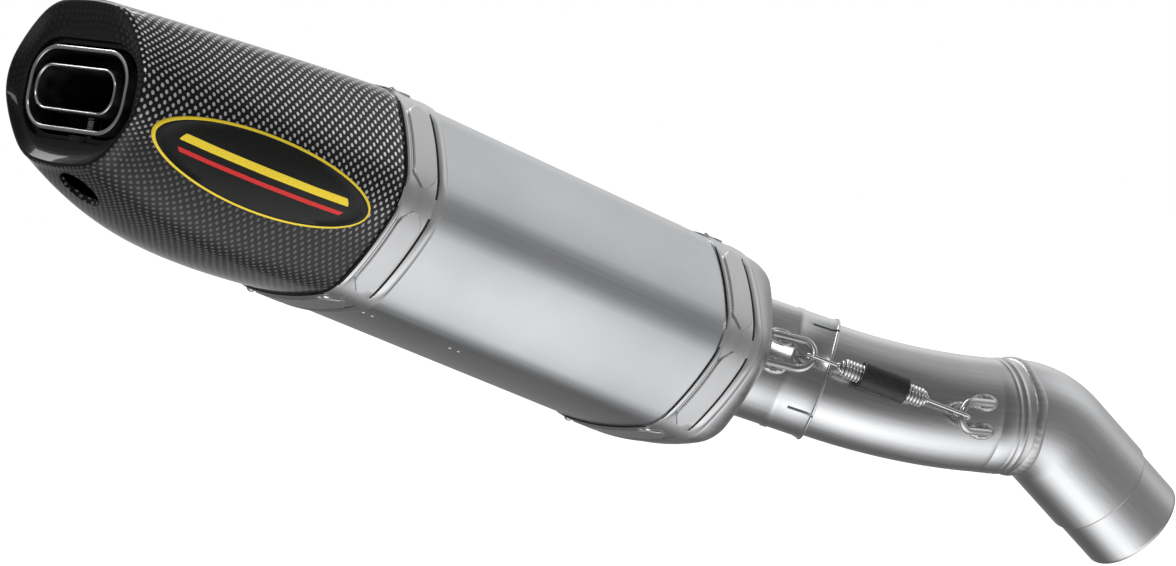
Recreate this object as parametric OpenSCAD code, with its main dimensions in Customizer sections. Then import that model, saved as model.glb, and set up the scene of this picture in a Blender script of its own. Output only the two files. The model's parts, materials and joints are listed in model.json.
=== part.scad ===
// Racing slip-on exhaust: hexagonal muffler, bent link pipe, springs and noise insert.
// Frame: +X forward towards the engine, +Y left, +Z up, millimetres.
// Origin: centre of the open end of the header socket.

/* [Muffler] */
// Width across the two side corners of the sleeve
sleeve_w = 146; // [120:1:160]
// Height between the flat top and bottom faces of the sleeve
sleeve_h = 97; // [80:1:110]
// Width of the flat part of the top and bottom faces
flat_w = 70; // [60:1:76]
// Outer radius of the sleeve's long corners
corner_r = 12; // [8:1:16]
// Distance between the middles of the two bands
band_spacing = 200; // [150:1:320]
// Nose-down tilt of the muffler's axis
muffler_tilt = 21.3; // [10:0.1:30]
// Thickness of the titanium sleeve
sleeve_t = 1; // [0.8:0.1:1.5]

/* [Bands] */
// Width of each band along the muffler
band_w = 24; // [16:1:30]
// Thickness of the band strip
band_t = 0.8; // [0.5:0.1:1.5]
// Height of the pressed panels above the strip
panel_t = 0.9; // [0.5:0.1:1.5]
// Width of the pressed panels
panel_w = 13; // [8:1:16]
// Rivet head diameter
rivet_d = 4.4; // [3:0.1:6]

/* [End cap] */
// Distance from the outlet band's middle to the middle of the outlet rim
cap_len = 147; // [120:1:180]
// Outside width of the cap at the outlet rim
rim_w = 94; // [88:1:100]
// Outside height of the cap at the outlet rim
rim_h = 75; // [70:1:84]
// Turn of the outlet face towards the right-hand side
outlet_yaw = 12; // [0:1:20]
// Downward turn of the outlet face
outlet_pitch = 9; // [0:1:15]
// Wall of the carbon cap
cap_t = 2.5; // [2:0.1:4]
// Depth of the outlet face behind the rim
face_depth = 7; // [4:1:10]

/* [Outlet and noise insert] */
// Outside width of the outlet tube
outlet_w = 66; // [60:1:68]
// Outside height of the outlet tube
outlet_h = 38; // [35:1:42]
// Outside width of the noise insert
insert_w = 54; // [44:1:55]
// Outside height of the noise insert
insert_h = 21; // [18:1:24]
// Drop of the outlet tube below the middle of the rim
outlet_drop = 2.5; // [0:0.5:4]
// Length of the noise insert
insert_len = 48; // [40:1:54]

/* [Link pipe] */
// Outside diameter of the link pipe
pipe_d = 60; // [54:0.5:63]
// Wall of the pipes
pipe_t = 1.2; // [1:0.1:2]
// Centreline radius of the gentle bend behind the muffler
bend_r = 210; // [150:5:215]
// Centreline radius of the elbow before the header socket
elbow_r = 45; // [42:1:50]
// Bore of the header socket, for the engine's header pipe
socket_bore = 54.4; // [50:0.1:54.6]
// Visible length of the header socket
socket_len = 31; // [28:1:40]
// Overlap of the slip joint
slip_len = 38; // [25:1:40]

/* [Springs] */
// Outside diameter of the spring coils
coil_d = 10; // [8:0.5:12]
// Spring wire diameter
wire_d = 1.8; // [1.4:0.1:2.2]
// Number of coils
coils = 29; // [20:1:30]
// Outside diameter of the rubber damper sleeve
damper_d = 14; // [12:0.5:15]
// Length of the rubber damper sleeve
damper_len = 28; // [20:1:34]

/* [Hidden] */
$fn = 64;

titanium = [0.66, 0.65, 0.63];
bright_titanium = [0.78, 0.77, 0.75];
carbon = [0.07, 0.07, 0.08];
steel = [0.55, 0.55, 0.57];
rubber = [0.05, 0.05, 0.05];

// Vertices of the pipe's centreline, from the header socket to inside the muffler.
route = [[0, 0, 0], [-61, 10.5, 60], [-131, 24.5, 65], [-219, 88.5, 102]];
// Middle of the muffler, halfway between the bands.
muffler_at = [-367, 69.5, 147];
// From the gentle bend's vertex to the slip joint's lip.
lip_at = 55;
// Direction that faces the right-hand side of the vehicle, a little upwards.
near_side = [-0.6, -0.8, 0.25];

pipe_r = pipe_d / 2;
slip_gap = 0.05;
tube_ri = pipe_r + slip_gap;
tube_ro = tube_ri + 1.6;
tube_len = 60;

// ---- Vectors and frames ----
function unit(v) = v / norm(v);
function flat_to(v, axis) = unit(v - axis * (v * axis));
function mix(a, b, s) = a + (b - a) * s;
function about_y(p, a) =
    [p[0] * cos(a) + p[2] * sin(a), p[1], p[2] * cos(a) - p[0] * sin(a)];
function about_z(p, a) =
    [p[0] * cos(a) - p[1] * sin(a), p[0] * sin(a) + p[1] * cos(a), p[2]];
// Frame with its z axis along z_dir and its x axis as near as can be to x_hint.
module at_frame(origin, z_dir, x_hint) {
    x = flat_to(x_hint, z_dir);
    y = cross(z_dir, x);
    multmatrix([
        [x[0], y[0], z_dir[0], origin[0]],
        [x[1], y[1], z_dir[1], origin[1]],
        [x[2], y[2], z_dir[2], origin[2]],
        [0, 0, 0, 1]
    ]) children();
}

socket_dir = unit(route[1] - route[0]);
mid_dir = unit(route[2] - route[1]);
slip_dir = unit(route[3] - route[2]);
lip_pos = route[2] + slip_dir * lip_at;

// ---- Rings: an outline is arcs about the corners of a smaller polygon ----
half_h = sleeve_h / 2 - corner_r;
half_w = sleeve_w / 2 - corner_r;
half_flat = flat_w / 2;
slope = atan((half_w - half_flat) / half_h);
arc_steps = 6;
// Normal directions around the hexagon: side corner, top corner, and so on.
function hex_turns() = [
    [-slope, slope, 0], [slope, 90, 1], [90, 180 - slope, 2],
    [180 - slope, 180 + slope, 3], [180 + slope, 270, 4], [270, 360 - slope, 5]
];
// Corner centres of a section w wide and h high, with corner radius r.
function hex_corners(w, h, r) = let (
    c = h / 2 - r, a = w / 2 - r, b = a - c * tan(slope)
) [[a, 0], [b, c], [-b, c], [-a, 0], [-b, -c], [b, -c]];
function hex_ring(w, h, r) = let (corners = hex_corners(w, h, r)) [
    for (turn = hex_turns(), j = [0:arc_steps])
        let (n = mix(turn[0], turn[1], j / arc_steps))
            corners[turn[2]] + r * [cos(n), sin(n)]
];
// Parallel outline of the sleeve, grown by d.
function sleeve_ring(d) = hex_ring(sleeve_w + 2 * d, sleeve_h + 2 * d, corner_r + d);

// Closed solid through a closed list of rings of equal length.
module ring_solid(rings) {
    m = len(rings);
    n = len(rings[0]);
    polyhedron(
        points = [for (ring = rings) each ring],
        faces = [
            for (i = [0:m - 1], j = [0:n - 1])
                let (i2 = (i + 1) % m, j2 = (j + 1) % n)
                    each [
                        [i * n + j, i2 * n + j, i2 * n + j2],
                        [i * n + j, i2 * n + j2, i * n + j2]
                    ]
        ]
    );
}

// ---- Places ----
module on_muffler() {
    translate(muffler_at) rotate([0, muffler_tilt, 0]) children();
}
outlet_x = -band_spacing / 2 - cap_len;
module on_outlet() {
    on_muffler() translate([outlet_x, 0, 0]) rotate([0, -outlet_pitch, outlet_yaw])
        translate([0, 0, -outlet_drop]) children();
}
// Extrudes an outline in the muffler's YZ plane from x0 to x1.
module along_x(x0, x1) {
    translate([x0, 0, 0]) rotate([90, 0, 90]) linear_extrude(x1 - x0) children();
}
module hex_tube(x0, x1, d_in, d_out) {
    along_x(x0, x1) difference() {
        polygon(sleeve_ring(d_out));
        polygon(sleeve_ring(d_in));
    }
}

// ---- Sleeve and bands ----
sleeve_end = band_spacing / 2 + band_w / 2 - 2;
module sleeve() {
    color(titanium) on_muffler() hex_tube(-sleeve_end, sleeve_end, -sleeve_t, 0);
}

// Pressed panel with pointed ends, sunk a little into a face of length face_len.
panel_sink = 0.3;
module panel(face_len) {
    tip = panel_w / 2;
    rotate([0, 0, 90]) translate([0, 0, -panel_sink]) linear_extrude(panel_t + panel_sink) polygon([
        [-face_len / 2, -2], [-face_len / 2, 2], [-face_len / 2 + tip, tip],
        [face_len / 2 - tip, tip], [face_len / 2, 2], [face_len / 2, -2],
        [face_len / 2 - tip, -tip], [-face_len / 2 + tip, -tip]
    ]);
}
slant_len = norm([half_w - half_flat, half_h]);
module band(x) {
    color(bright_titanium) on_muffler() {
        hex_tube(x - band_w / 2, x + band_w / 2, 0, band_t);
        for (side = [0, 180]) rotate([side, 0, 0]) {
            translate([x, 0, sleeve_h / 2 + band_t]) panel(flat_w - 14);
            for (hand = [-1, 1])
                translate([x, hand * (half_w + half_flat) / 2, half_h / 2])
                    rotate([-hand * (90 - slope), 0, 0])
                        translate([0, 0, corner_r + band_t]) panel(slant_len);
        }
    }
}
module outlet_band() band(-band_spacing / 2);
module inlet_band() band(band_spacing / 2);

// Domed rivet head, standing on z = 0.
module rivet_head(d) {
    dome = d * 0.3;
    ball = (d * d / 4 + dome * dome) / (2 * dome);
    intersection() {
        translate([0, 0, dome - ball]) sphere(ball);
        cylinder(h = d, d = d * 2);
    }
}
rivet_pitch = 6;
module band_rivets() {
    color(steel) on_muffler()
        for (x = [-1, 1], up = [0, 180], hand = [-1, 1], k = [0, 1])
            translate([x * band_spacing / 2, 0, 0]) rotate([up, 0, 0])
                translate([
                    -band_w / 2 + 3.2, hand * (half_flat - 3 - k * rivet_pitch),
                    sleeve_h / 2 + band_t
                ]) rivet_head(rivet_d);
}
seam_rivets = 5;
seam_half = band_spacing / 2 - 30;
module sleeve_rivets() {
    color(steel) on_muffler()
        for (i = [0:seam_rivets - 1], k = [-2.6, 2.6])
            translate([
                mix(-seam_half, seam_half, i / (seam_rivets - 1)) + k,
                -half_flat + 8, -sleeve_h / 2
            ]) rotate([180, 0, 0]) rivet_head(3.2);
}

// ---- Carbon end cap ----
// Both caps tuck under the sleeve by this gap, then rise to its outer surface.
tuck = sleeve_t + 0.2;
tuck_from = band_spacing / 2 - 2;
tuck_to = sleeve_end + 0.5;
cap_start = sleeve_end + 2.5;
rim_r = 26;
rim_round = 2.5;
cap_stations = 8;
function band_ring(x, d) = [for (p = sleeve_ring(d)) [x, p[0], p[1]]];
// Turns a point of the outlet's own frame into the muffler's frame.
function outlet_pt(p) =
    about_z(about_y(p, -outlet_pitch), outlet_yaw) + [outlet_x, 0, 0];
function rim_ring(shrink, depth) = [
    for (p = hex_ring(rim_w - 2 * shrink, rim_h - 2 * shrink, rim_r - shrink))
        outlet_pt([depth, p[0], p[1]])
];
// The cap swells faster underneath than on top.
function swell(z) = mix(3, 1.15, z / sleeve_h + 0.5);
belly = 4;
function cap_point(s, i, d) = let (
    a = band_ring(-cap_start, d)[i],
    b = rim_ring(-d, rim_round)[i],
    g = pow(s, swell(a[2]))
) [
    mix(a[0], b[0], s), mix(a[1], b[1], g),
    mix(a[2], b[2], g) + belly * sin(180 * s) * min(0, a[2] / sleeve_h * 2)
];
function cap_ring(s, d) = [for (i = [0:6 * (arc_steps + 1) - 1]) cap_point(s, i, d)];
// Hole for the outlet tube: the ring's points moved onto a rounded rectangle.
function hole_ring(grow, depth) = [
    for (turn = hex_turns(), j = [0:arc_steps]) let (
        n = mix(turn[0], turn[1], j / arc_steps),
        w = outlet_w / 2 + grow - outlet_r,
        h = outlet_h / 2 + grow - outlet_r
    ) outlet_pt([
        depth,
        (cos(n) >= 0 ? w : -w) + outlet_r * cos(n),
        (sin(n) >= 0 ? h : -h) + outlet_r * sin(n) - outlet_drop
    ])
];
module end_cap() {
    color(carbon) difference() {
        on_muffler() ring_solid(concat(
            [band_ring(-tuck_from, -tuck), band_ring(-tuck_to, -tuck)],
            [for (k = [0:cap_stations]) cap_ring(k / cap_stations, 0)],
            [
                rim_ring(0.8, 0.7), rim_ring(2.2, 0), rim_ring(3.6, 0.6),
                rim_ring(5, face_depth - 1), rim_ring(6, face_depth),
                hole_ring(1.6, face_depth), hole_ring(1.6, face_depth + cap_t),
                rim_ring(6, face_depth + cap_t)
            ],
            [for (k = [cap_stations - 1:-1:0]) cap_ring(k / cap_stations, -cap_t)],
            [band_ring(-tuck_to, -tuck - cap_t), band_ring(-tuck_from, -tuck - cap_t)]
        ));
        on_outlet() translate([screw_x, screw_y, -sleeve_h])
            cylinder(h = sleeve_h - outlet_h / 2, r = boss_r + 0.3);
    }
}

// ---- Inlet cap and its tube ----
inlet_cap_t = 1.2;
root_at = 44;
inlet_stations = 7;
// The slip joint's lip and axis in the muffler's frame.
lip_local = about_y(lip_pos - muffler_at, -muffler_tilt);
slip_local = about_y(slip_dir, -muffler_tilt);
function tube_ring(r, behind) = let (
    ey = flat_to([0, 1, 0], slip_local),
    ez = cross(-slip_local, ey)
) [
    for (turn = hex_turns(), j = [0:arc_steps])
        let (n = mix(turn[0], turn[1], j / arc_steps))
            lip_local + slip_local * behind + r * (cos(n) * ey + sin(n) * ez)
];
function inlet_ring(s, d) = let (
    a = band_ring(cap_start, d),
    b = tube_ring(tube_ro + 3.5 + d, root_at - d)
) [
    for (i = [0:len(a) - 1])
        [mix(a[i][0], b[i][0], s), mix(a[i][1], b[i][1], s * s), mix(a[i][2], b[i][2], s * s)]
];
module inlet_cap() {
    hole_r = tube_ro + 0.3;
    t = inlet_cap_t;
    color(titanium) on_muffler() ring_solid(concat(
        [band_ring(tuck_from, -tuck - t), band_ring(tuck_to, -tuck - t)],
        [for (k = [0:inlet_stations]) inlet_ring(k / inlet_stations, -t)],
        [tube_ring(hole_r, root_at + t), tube_ring(hole_r, root_at - 1.5)],
        [tube_ring(tube_ro + 2, root_at - 1.5)],
        [for (k = [inlet_stations:-1:0]) inlet_ring(k / inlet_stations, 0)],
        [band_ring(tuck_to, -tuck), band_ring(tuck_from, -tuck)]
    ));
}
lip_bead = 2;
slot_count = 4;
module inlet_tube() {
    color(bright_titanium) at_frame(lip_pos, slip_dir, near_side) difference() {
        union() {
            cylinder(h = tube_len, r = tube_ro);
            translate([0, 0, lip_bead]) rotate_extrude()
                translate([tube_ro + 0.6, 0]) circle(lip_bead);
        }
        translate([0, 0, -1]) cylinder(h = tube_len + 2, r = tube_ri);
        for (k = [0:slot_count - 1]) rotate([0, 0, 45 + k * 360 / slot_count])
            translate([tube_ri - 2, -0.9, -1]) cube([8, 1.8, 15]);
    }
}

// ---- Inside the muffler ----
core_r = 27;
core_t = 1.2;
wrap_r = 31;
plate_x = band_spacing / 2 - 6;
plate_t = 2;
core_x = plate_x + 6;
module round_plate(x0, x1, d, r) {
    along_x(x0, x1) difference() {
        polygon(sleeve_ring(d));
        circle(r);
    }
}
module outlet_end_plate() {
    color(steel) on_muffler()
        round_plate(-plate_x - plate_t / 2, -plate_x + plate_t / 2, -sleeve_t, core_r);
}
module inlet_baffle() {
    color(steel) on_muffler()
        round_plate(plate_x - plate_t / 2, plate_x + plate_t / 2, -sleeve_t, core_r);
}
hole_rows = 9;
hole_pairs = 4;
module core_tube() {
    color(steel) on_muffler() difference() {
        along_x(-core_x, core_x) difference() {
            circle(core_r);
            circle(core_r - core_t);
        }
        for (i = [0:hole_rows - 1], k = [0:hole_pairs - 1])
            translate([mix(-plate_x + 14, plate_x - 14, i / (hole_rows - 1)), 0, 0])
                rotate([(k + (i % 2) / 2) * 180 / hole_pairs, 0, 0])
                    cylinder(h = 3 * core_r, r = 3, center = true, $fn = 16);
    }
}
fill_x = plate_x - plate_t / 2;
module steel_wool_wrap() {
    color([0.45, 0.45, 0.46]) on_muffler() along_x(-fill_x, fill_x) difference() {
        circle(wrap_r);
        circle(core_r);
    }
}
module glass_packing() {
    color([0.92, 0.9, 0.8]) on_muffler() round_plate(-fill_x, fill_x, -sleeve_t, wrap_r);
}

// ---- Outlet ----
outlet_r = 15;
outlet_t = 2;
outlet_front = 2;
outlet_back = 44;
corner_steps = 8;
// Rounded rectangle, w by h with corner radius r.
function rect_ring(w, h, r) = [
    for (k = [0:3], j = [0:corner_steps]) let (n = 90 * (k + j / corner_steps))
        [(k == 0 || k == 3 ? 1 : -1) * (w / 2 - r), (k < 2 ? 1 : -1) * (h / 2 - r)]
            + r * [cos(n), sin(n)]
];
module rect_tube(x0, x1, w, h, r, t) {
    along_x(x0, x1) difference() {
        polygon(rect_ring(w, h, r));
        polygon(rect_ring(w - 2 * t, h - 2 * t, r - t));
    }
}
screw_x = 14;
screw_y = -2;
screw_r = 3;
boss_r = 9.5;
module outlet_tube() {
    color(bright_titanium) on_outlet() difference() {
        union() {
            rect_tube(outlet_front, outlet_back, outlet_w, outlet_h, outlet_r, outlet_t);
            rect_tube(outlet_front, outlet_front + 2, outlet_w + 2, outlet_h + 2,
                outlet_r + 1, outlet_t + 1);
        }
        translate([screw_x, screw_y, -outlet_h / 2 - 5]) cylinder(h = 10, r = screw_r + 0.3);
    }
}
function round_ring(grow, x) = [
    for (p = rect_ring(2 * (core_r + grow), 2 * (core_r + grow), core_r + grow))
        [x, p[0], p[1]]
];
function mouth_ring(t) = [
    for (p = rect_ring(outlet_w - 2 * t, outlet_h - 2 * t, outlet_r - t))
        outlet_pt([outlet_back, p[0], p[1] - outlet_drop])
];
module outlet_cone() {
    color(steel) on_muffler() ring_solid([
        round_ring(0, -core_x), mouth_ring(0), mouth_ring(outlet_t),
        round_ring(-outlet_t, -core_x)
    ]);
}
insert_front = 1;
insert_r = 9.5;
insert_t = 1.5;
end_hole_r = 7;
module noise_insert() {
    inner_w = insert_w - 2 * insert_t;
    inner_h = insert_h - 2 * insert_t;
    back = insert_front + insert_len;
    color(steel) on_outlet() {
        rect_tube(insert_front, back, insert_w, insert_h, insert_r, insert_t);
        along_x(back - insert_t, back) difference() {
            polygon(rect_ring(inner_w, inner_h, insert_r - insert_t));
            circle(end_hole_r);
        }
    }
}
ring_x = 24;
ring_len = 10;
module insert_locating_ring() {
    clear = 0.35;
    color(steel) on_outlet() difference() {
        along_x(ring_x, ring_x + ring_len) difference() {
            polygon(rect_ring(outlet_w - 2 * (outlet_t + clear),
                outlet_h - 2 * (outlet_t + clear), outlet_r - outlet_t - clear));
            polygon(rect_ring(insert_w, insert_h, insert_r));
        }
        translate([ring_x - 1, screw_y - 5, -outlet_h])
            cube([ring_len + 2, 10, outlet_h - insert_h / 2 - 0.01]);
    }
}

// ---- Insert screw ----
boss_top = -outlet_h / 2 - 1.05;
boss_low = -36;
seat_z = boss_low + 6;
seat_gap = 0.02;
head_h = 3.6;
head_r = 5;
washer_r = 6.4;
washer_t = 1;
screw_tip = -insert_h / 2 - 0.15;
thread_gap = 0.05;
module screw_boss() {
    color(steel) on_outlet() translate([screw_x, screw_y, 0]) difference() {
        translate([0, 0, boss_low]) cylinder(h = boss_top - boss_low, r = boss_r);
        translate([0, 0, boss_low - 1]) cylinder(h = seat_z - boss_low + 1, r = boss_r - 1.2);
        translate([0, 0, boss_low]) cylinder(h = 40, r = screw_r + thread_gap);
    }
}
module insert_screw() {
    head_top = seat_z - washer_t - 2 * seat_gap;
    color([0.7, 0.7, 0.72]) on_outlet() translate([screw_x, screw_y, 0]) difference() {
        union() {
            translate([0, 0, head_top]) cylinder(h = screw_tip - head_top, r = screw_r);
            translate([0, 0, head_top - head_h]) cylinder(h = head_h, r = head_r);
        }
        translate([0, 0, head_top - head_h - 1]) cylinder(h = 3, r = 2.3, $fn = 6);
    }
}
module screw_washer() {
    color(steel) on_outlet() translate([screw_x, screw_y, seat_z - washer_t - seat_gap]) difference() {
        cylinder(h = washer_t, r = washer_r);
        translate([0, 0, -1]) cylinder(h = washer_t + 2, r = screw_r + thread_gap);
    }
}

// ---- Badge: a plain oval plate following the cap's lower outer face ----
badge_mid = 0.5;
badge_half = 0.365;
badge_row = 0.26;
badge_high = 0.47;
badge_gap = 0.45;
badge_t = 1.2;
badge_steps = 40;
badge_sizes = [0.12, 0.3, 0.48, 0.65, 0.8, 0.9, 1];
badge_edge = 0.4;
badge_round = 0.02;
face_i = 4 * (arc_steps + 1) - 1;
// Points beside the side corner: t runs 0 to 1 down the flat face, and below 0 round the corner.
function face_point(s, t, d) = let (
    back = max(0, -t) * 3 * arc_steps,
    i = face_i - floor(back)
) t < 0 ? mix(cap_point(s, i, d), cap_point(s, i - 1, d), back - floor(back))
    : mix(cap_point(s, face_i, d), cap_point(s, face_i + 1, d), t);
function face_width(s) = norm(cap_point(s, face_i, 0) - cap_point(s, face_i + 1, 0));
// The face narrows towards the rim, so the oval takes a larger share of it there.
function badge_ring(size, d) = [
    for (k = [0:badge_steps - 1])
        let (n = 360 * k / badge_steps, s = badge_mid + badge_half * size * cos(n))
            face_point(s, badge_row
                + badge_high * size * sin(n) * face_width(badge_mid) / face_width(s), d)
];
// Closed solid through an open list of rings, capped at both ends.
module ring_stack(rings) {
    m = len(rings);
    n = len(rings[0]);
    polyhedron(
        points = [for (ring = rings) each ring],
        faces = concat(
            [[for (j = [0:n - 1]) j], [for (j = [n - 1:-1:0]) (m - 1) * n + j]],
            [for (i = [0:m - 2], j = [0:n - 1]) let (j2 = (j + 1) % n) each [
                [i * n + j, (i + 1) * n + j, (i + 1) * n + j2],
                [i * n + j, (i + 1) * n + j2, i * n + j2]
            ]]
        )
    );
}
module badge_plate() {
    top = badge_gap + badge_t;
    last = len(badge_sizes) - 1;
    color([0.75, 0.6, 0.1]) on_muffler() ring_stack([
        for (size = badge_sizes) badge_ring(size, badge_gap),
        badge_ring(1, top - badge_edge),
        for (i = [0:last]) badge_ring(badge_sizes[last - i] - (i == 0 ? badge_round : 0), top)
    ]);
}

// ---- Link pipe ----
function tangent(a, b, r) = r * tan(acos(a * b) / 2);
bend_tan = tangent(mid_dir, slip_dir, bend_r);
elbow_tan = tangent(socket_dir, mid_dir, elbow_r);
// Bending thins the wall a little, and the straight tubes lap over the bends.
bend_thin = 0.05;
lap = 0.6;
// Bent tube about one vertex of the route.
module tube_bend(vertex, dir_in, dir_out, r) {
    inward = unit(dir_out - dir_in * (dir_in * dir_out));
    start = vertex - dir_in * tangent(dir_in, dir_out, r);
    at_frame(start + inward * r, cross(-inward, dir_in), -inward)
        rotate_extrude(angle = acos(dir_in * dir_out), $fn = 90) translate([r, 0]) difference() {
            circle(pipe_r - bend_thin);
            circle(pipe_ri + bend_thin);
        }
}
module tube(from, to) {
    at_frame(from, unit(to - from), near_side) difference() {
        cylinder(h = norm(to - from), r = pipe_r);
        translate([0, 0, -1]) cylinder(h = norm(to - from) + 2, r = pipe_ri);
    }
}
weld_pos = route[1] + mid_dir * elbow_tan;
pipe_ri = pipe_r - pipe_t;
module link_bend() {
    color(titanium) {
        tube(weld_pos, route[2] - mid_dir * (bend_tan - lap));
        tube_bend(route[2], mid_dir, slip_dir, bend_r);
        tube(route[2] + slip_dir * (bend_tan - lap), lip_pos + slip_dir * slip_len);
    }
}
module link_elbow() {
    color(titanium) {
        tube_bend(route[1], socket_dir, mid_dir, elbow_r);
        tube(socket_dir * socket_len, route[1] - socket_dir * (elbow_tan - lap));
    }
}
weld_r = 2.6;
weld_gap = 0.08;
module weld_bead() {
    color(bright_titanium) at_frame(weld_pos, mid_dir, near_side) difference() {
        rotate_extrude() translate([pipe_r - 0.6, 0]) circle(weld_r);
        translate([0, 0, -5]) cylinder(h = 10, r = pipe_r + weld_gap);
    }
}
// The socket is pushed into the elbow and welded round the elbow's end.
socket_ri = socket_bore / 2;
socket_ro = pipe_ri - 0.05;
socket_push = 8;
module header_socket() {
    color(titanium) at_frame([0, 0, 0], socket_dir, near_side) difference() {
        cylinder(h = socket_len + socket_push, r = socket_ro);
        translate([0, 0, -1]) cylinder(h = socket_len + socket_push + 2, r = socket_ri);
    }
}
module socket_weld() {
    color(bright_titanium) at_frame(socket_dir * socket_len, socket_dir, near_side)
        rotate_extrude() polygon([
            [socket_ro, 0], [pipe_r - 0.2, 0], [pipe_r - 0.6, -0.9], [socket_ro, -1.8]
        ]);
}

// ---- Spring hooks and springs ----
// The near spring is on the right-hand side of the pipe, the far one is opposite it.
hook_r = 2;
hook_span = 15;
hook_len = 15;
hook_tilt = 22;
// Feet of the hooks: behind the lip, and along the bend from the weld, in degrees.
muffler_hook_at = 32;
near_hook_turn = 7;
far_hook_turn = 0;
muffler_side = [-0.53, -0.8, 0.29];
link_side = [-0.6, -0.8, 0.06];
// U of bent wire: its legs lie on the pipe and its loop stands off, along z.
module u_hook(r) {
    leg_x = sqrt(pow(r + hook_r, 2) - pow(hook_span / 2, 2));
    translate([leg_x, 0, 0]) rotate([0, hook_tilt, 0]) {
        for (y = [-1, 1]) translate([0, y * hook_span / 2, 0]) cylinder(h = hook_len, r = hook_r);
        translate([0, 0, hook_len]) rotate([90, 0, 90])
            rotate_extrude(angle = 180) translate([hook_span / 2, 0]) circle(hook_r);
    }
}
// Middle of the hook's loop wire, for a hook at o on a pipe of radius r.
function hook_tip(o, z_dir, side, r) = let (
    x = flat_to(side, z_dir),
    leg_x = sqrt(pow(r + hook_r, 2) - pow(hook_span / 2, 2)),
    reach = hook_len + hook_span / 2
) o + x * (leg_x + reach * sin(hook_tilt)) + z_dir * reach * cos(hook_tilt);
muffler_hook_pos = lip_pos + slip_dir * muffler_hook_at;
bend_in = unit(slip_dir - mid_dir * (mid_dir * slip_dir));
function link_turn(hand) = hand > 0 ? near_hook_turn : far_hook_turn;
function link_hook_dir(hand) = let (turn = link_turn(hand))
    mid_dir * cos(turn) + bend_in * sin(turn);
function link_hook_pos(hand) = let (turn = link_turn(hand))
    route[2] - mid_dir * bend_tan
        + bend_r * (bend_in * (1 - cos(turn)) + mid_dir * sin(turn));
module muffler_spring_hooks() {
    color(steel) for (hand = [1, -1])
        at_frame(muffler_hook_pos, -slip_dir, hand * muffler_side) u_hook(tube_ro);
}
module link_spring_hooks() {
    color(steel) for (hand = [1, -1])
        at_frame(link_hook_pos(hand), link_hook_dir(hand), hand * link_side) u_hook(pipe_r);
}
coil_r = coil_d / 2;
wire_r = wire_d / 2;
coil_len = coils * wire_d;
// The coils sit nearer to the muffler's hook by this much.
coil_shift = 4;
// The spring's end loops run round the hooks' wire, so its axis passes beside them.
loop_r = 4.1;
loop_turn = 235;
loop_root = 4;
loop_step = 0.05;
taper_coils = 3;
function coil_at(k) = let (ends = min(k, coils - 1 - k))
    mix(wire_d, coil_r, min(1, (ends + 1) / (taper_coils + 1)));
// Outline of a straight wire, the coils and a second straight wire, up to the spring's axis.
function coil_outline(low, total) = concat(
    [[0, 0], [wire_r, 0], [wire_r, low]],
    [for (k = [0:coils - 1], a = [-60, 0, 60])
        [coil_at(k) - wire_r + wire_r * cos(a), low + wire_r * (2 * k + 1) + wire_r * sin(a)]],
    [[wire_r, low + coil_len], [wire_r, total], [0, total]]
);
// Loop about the hook's wire. It starts a little way inside the straight wire.
module spring_loop() {
    rotate([-90, 0, 0]) rotate([0, 0, -loop_root]) rotate_extrude(angle = loop_turn + loop_root)
        translate([loop_r, 0]) circle(wire_r - loop_step);
}
function spring_from(hand) = hook_tip(muffler_hook_pos, -slip_dir, hand * muffler_side, tube_ro);
function spring_to(hand) =
    hook_tip(link_hook_pos(hand), link_hook_dir(hand), hand * link_side, pipe_r);
module spring(hand) {
    from = spring_from(hand);
    to = spring_to(hand);
    side = hand * near_side;
    total = norm(to - from);
    color([0.8, 0.8, 0.8]) {
        at_frame(from, unit(to - from), side) {
            translate([loop_r, 0, 0]) rotate_extrude()
                polygon(coil_outline((total - coil_len) / 2 - coil_shift, total));
            spring_loop();
        }
        at_frame(to, unit(from - to), side) spring_loop();
    }
}
module damper(hand) {
    from = spring_from(hand);
    to = spring_to(hand);
    color(rubber) at_frame((from + to) / 2, unit(to - from), hand * near_side)
        translate([loop_r, 0, -damper_len / 2 - coil_shift]) difference() {
            cylinder(h = damper_len, r = damper_d / 2);
            translate([0, 0, -1]) cylinder(h = damper_len + 2, r = coil_r + 0.05);
        }
}
module spring_near() spring(1);
module spring_far() spring(-1);
module damper_near() damper(1);
module damper_far() damper(-1);

sleeve();
end_cap();
inlet_cap();
inlet_tube();
outlet_band();
inlet_band();
band_rivets();
sleeve_rivets();
outlet_tube();
outlet_cone();
outlet_end_plate();
inlet_baffle();
core_tube();
steel_wool_wrap();
glass_packing();
badge_plate();
muffler_spring_hooks();
screw_boss();
noise_insert();
insert_locating_ring();
insert_screw();
screw_washer();
link_bend();
link_elbow();
weld_bead();
socket_weld();
header_socket();
link_spring_hooks();
spring_near();
spring_far();
damper_near();
damper_far();
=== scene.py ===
"""Looks of a racing slip-on exhaust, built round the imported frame. Metres, in the row frame."""
import json
import random
from itertools import product
from math import acos, asin, atan, cos, pi, radians, sin, sqrt, tan

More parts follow.
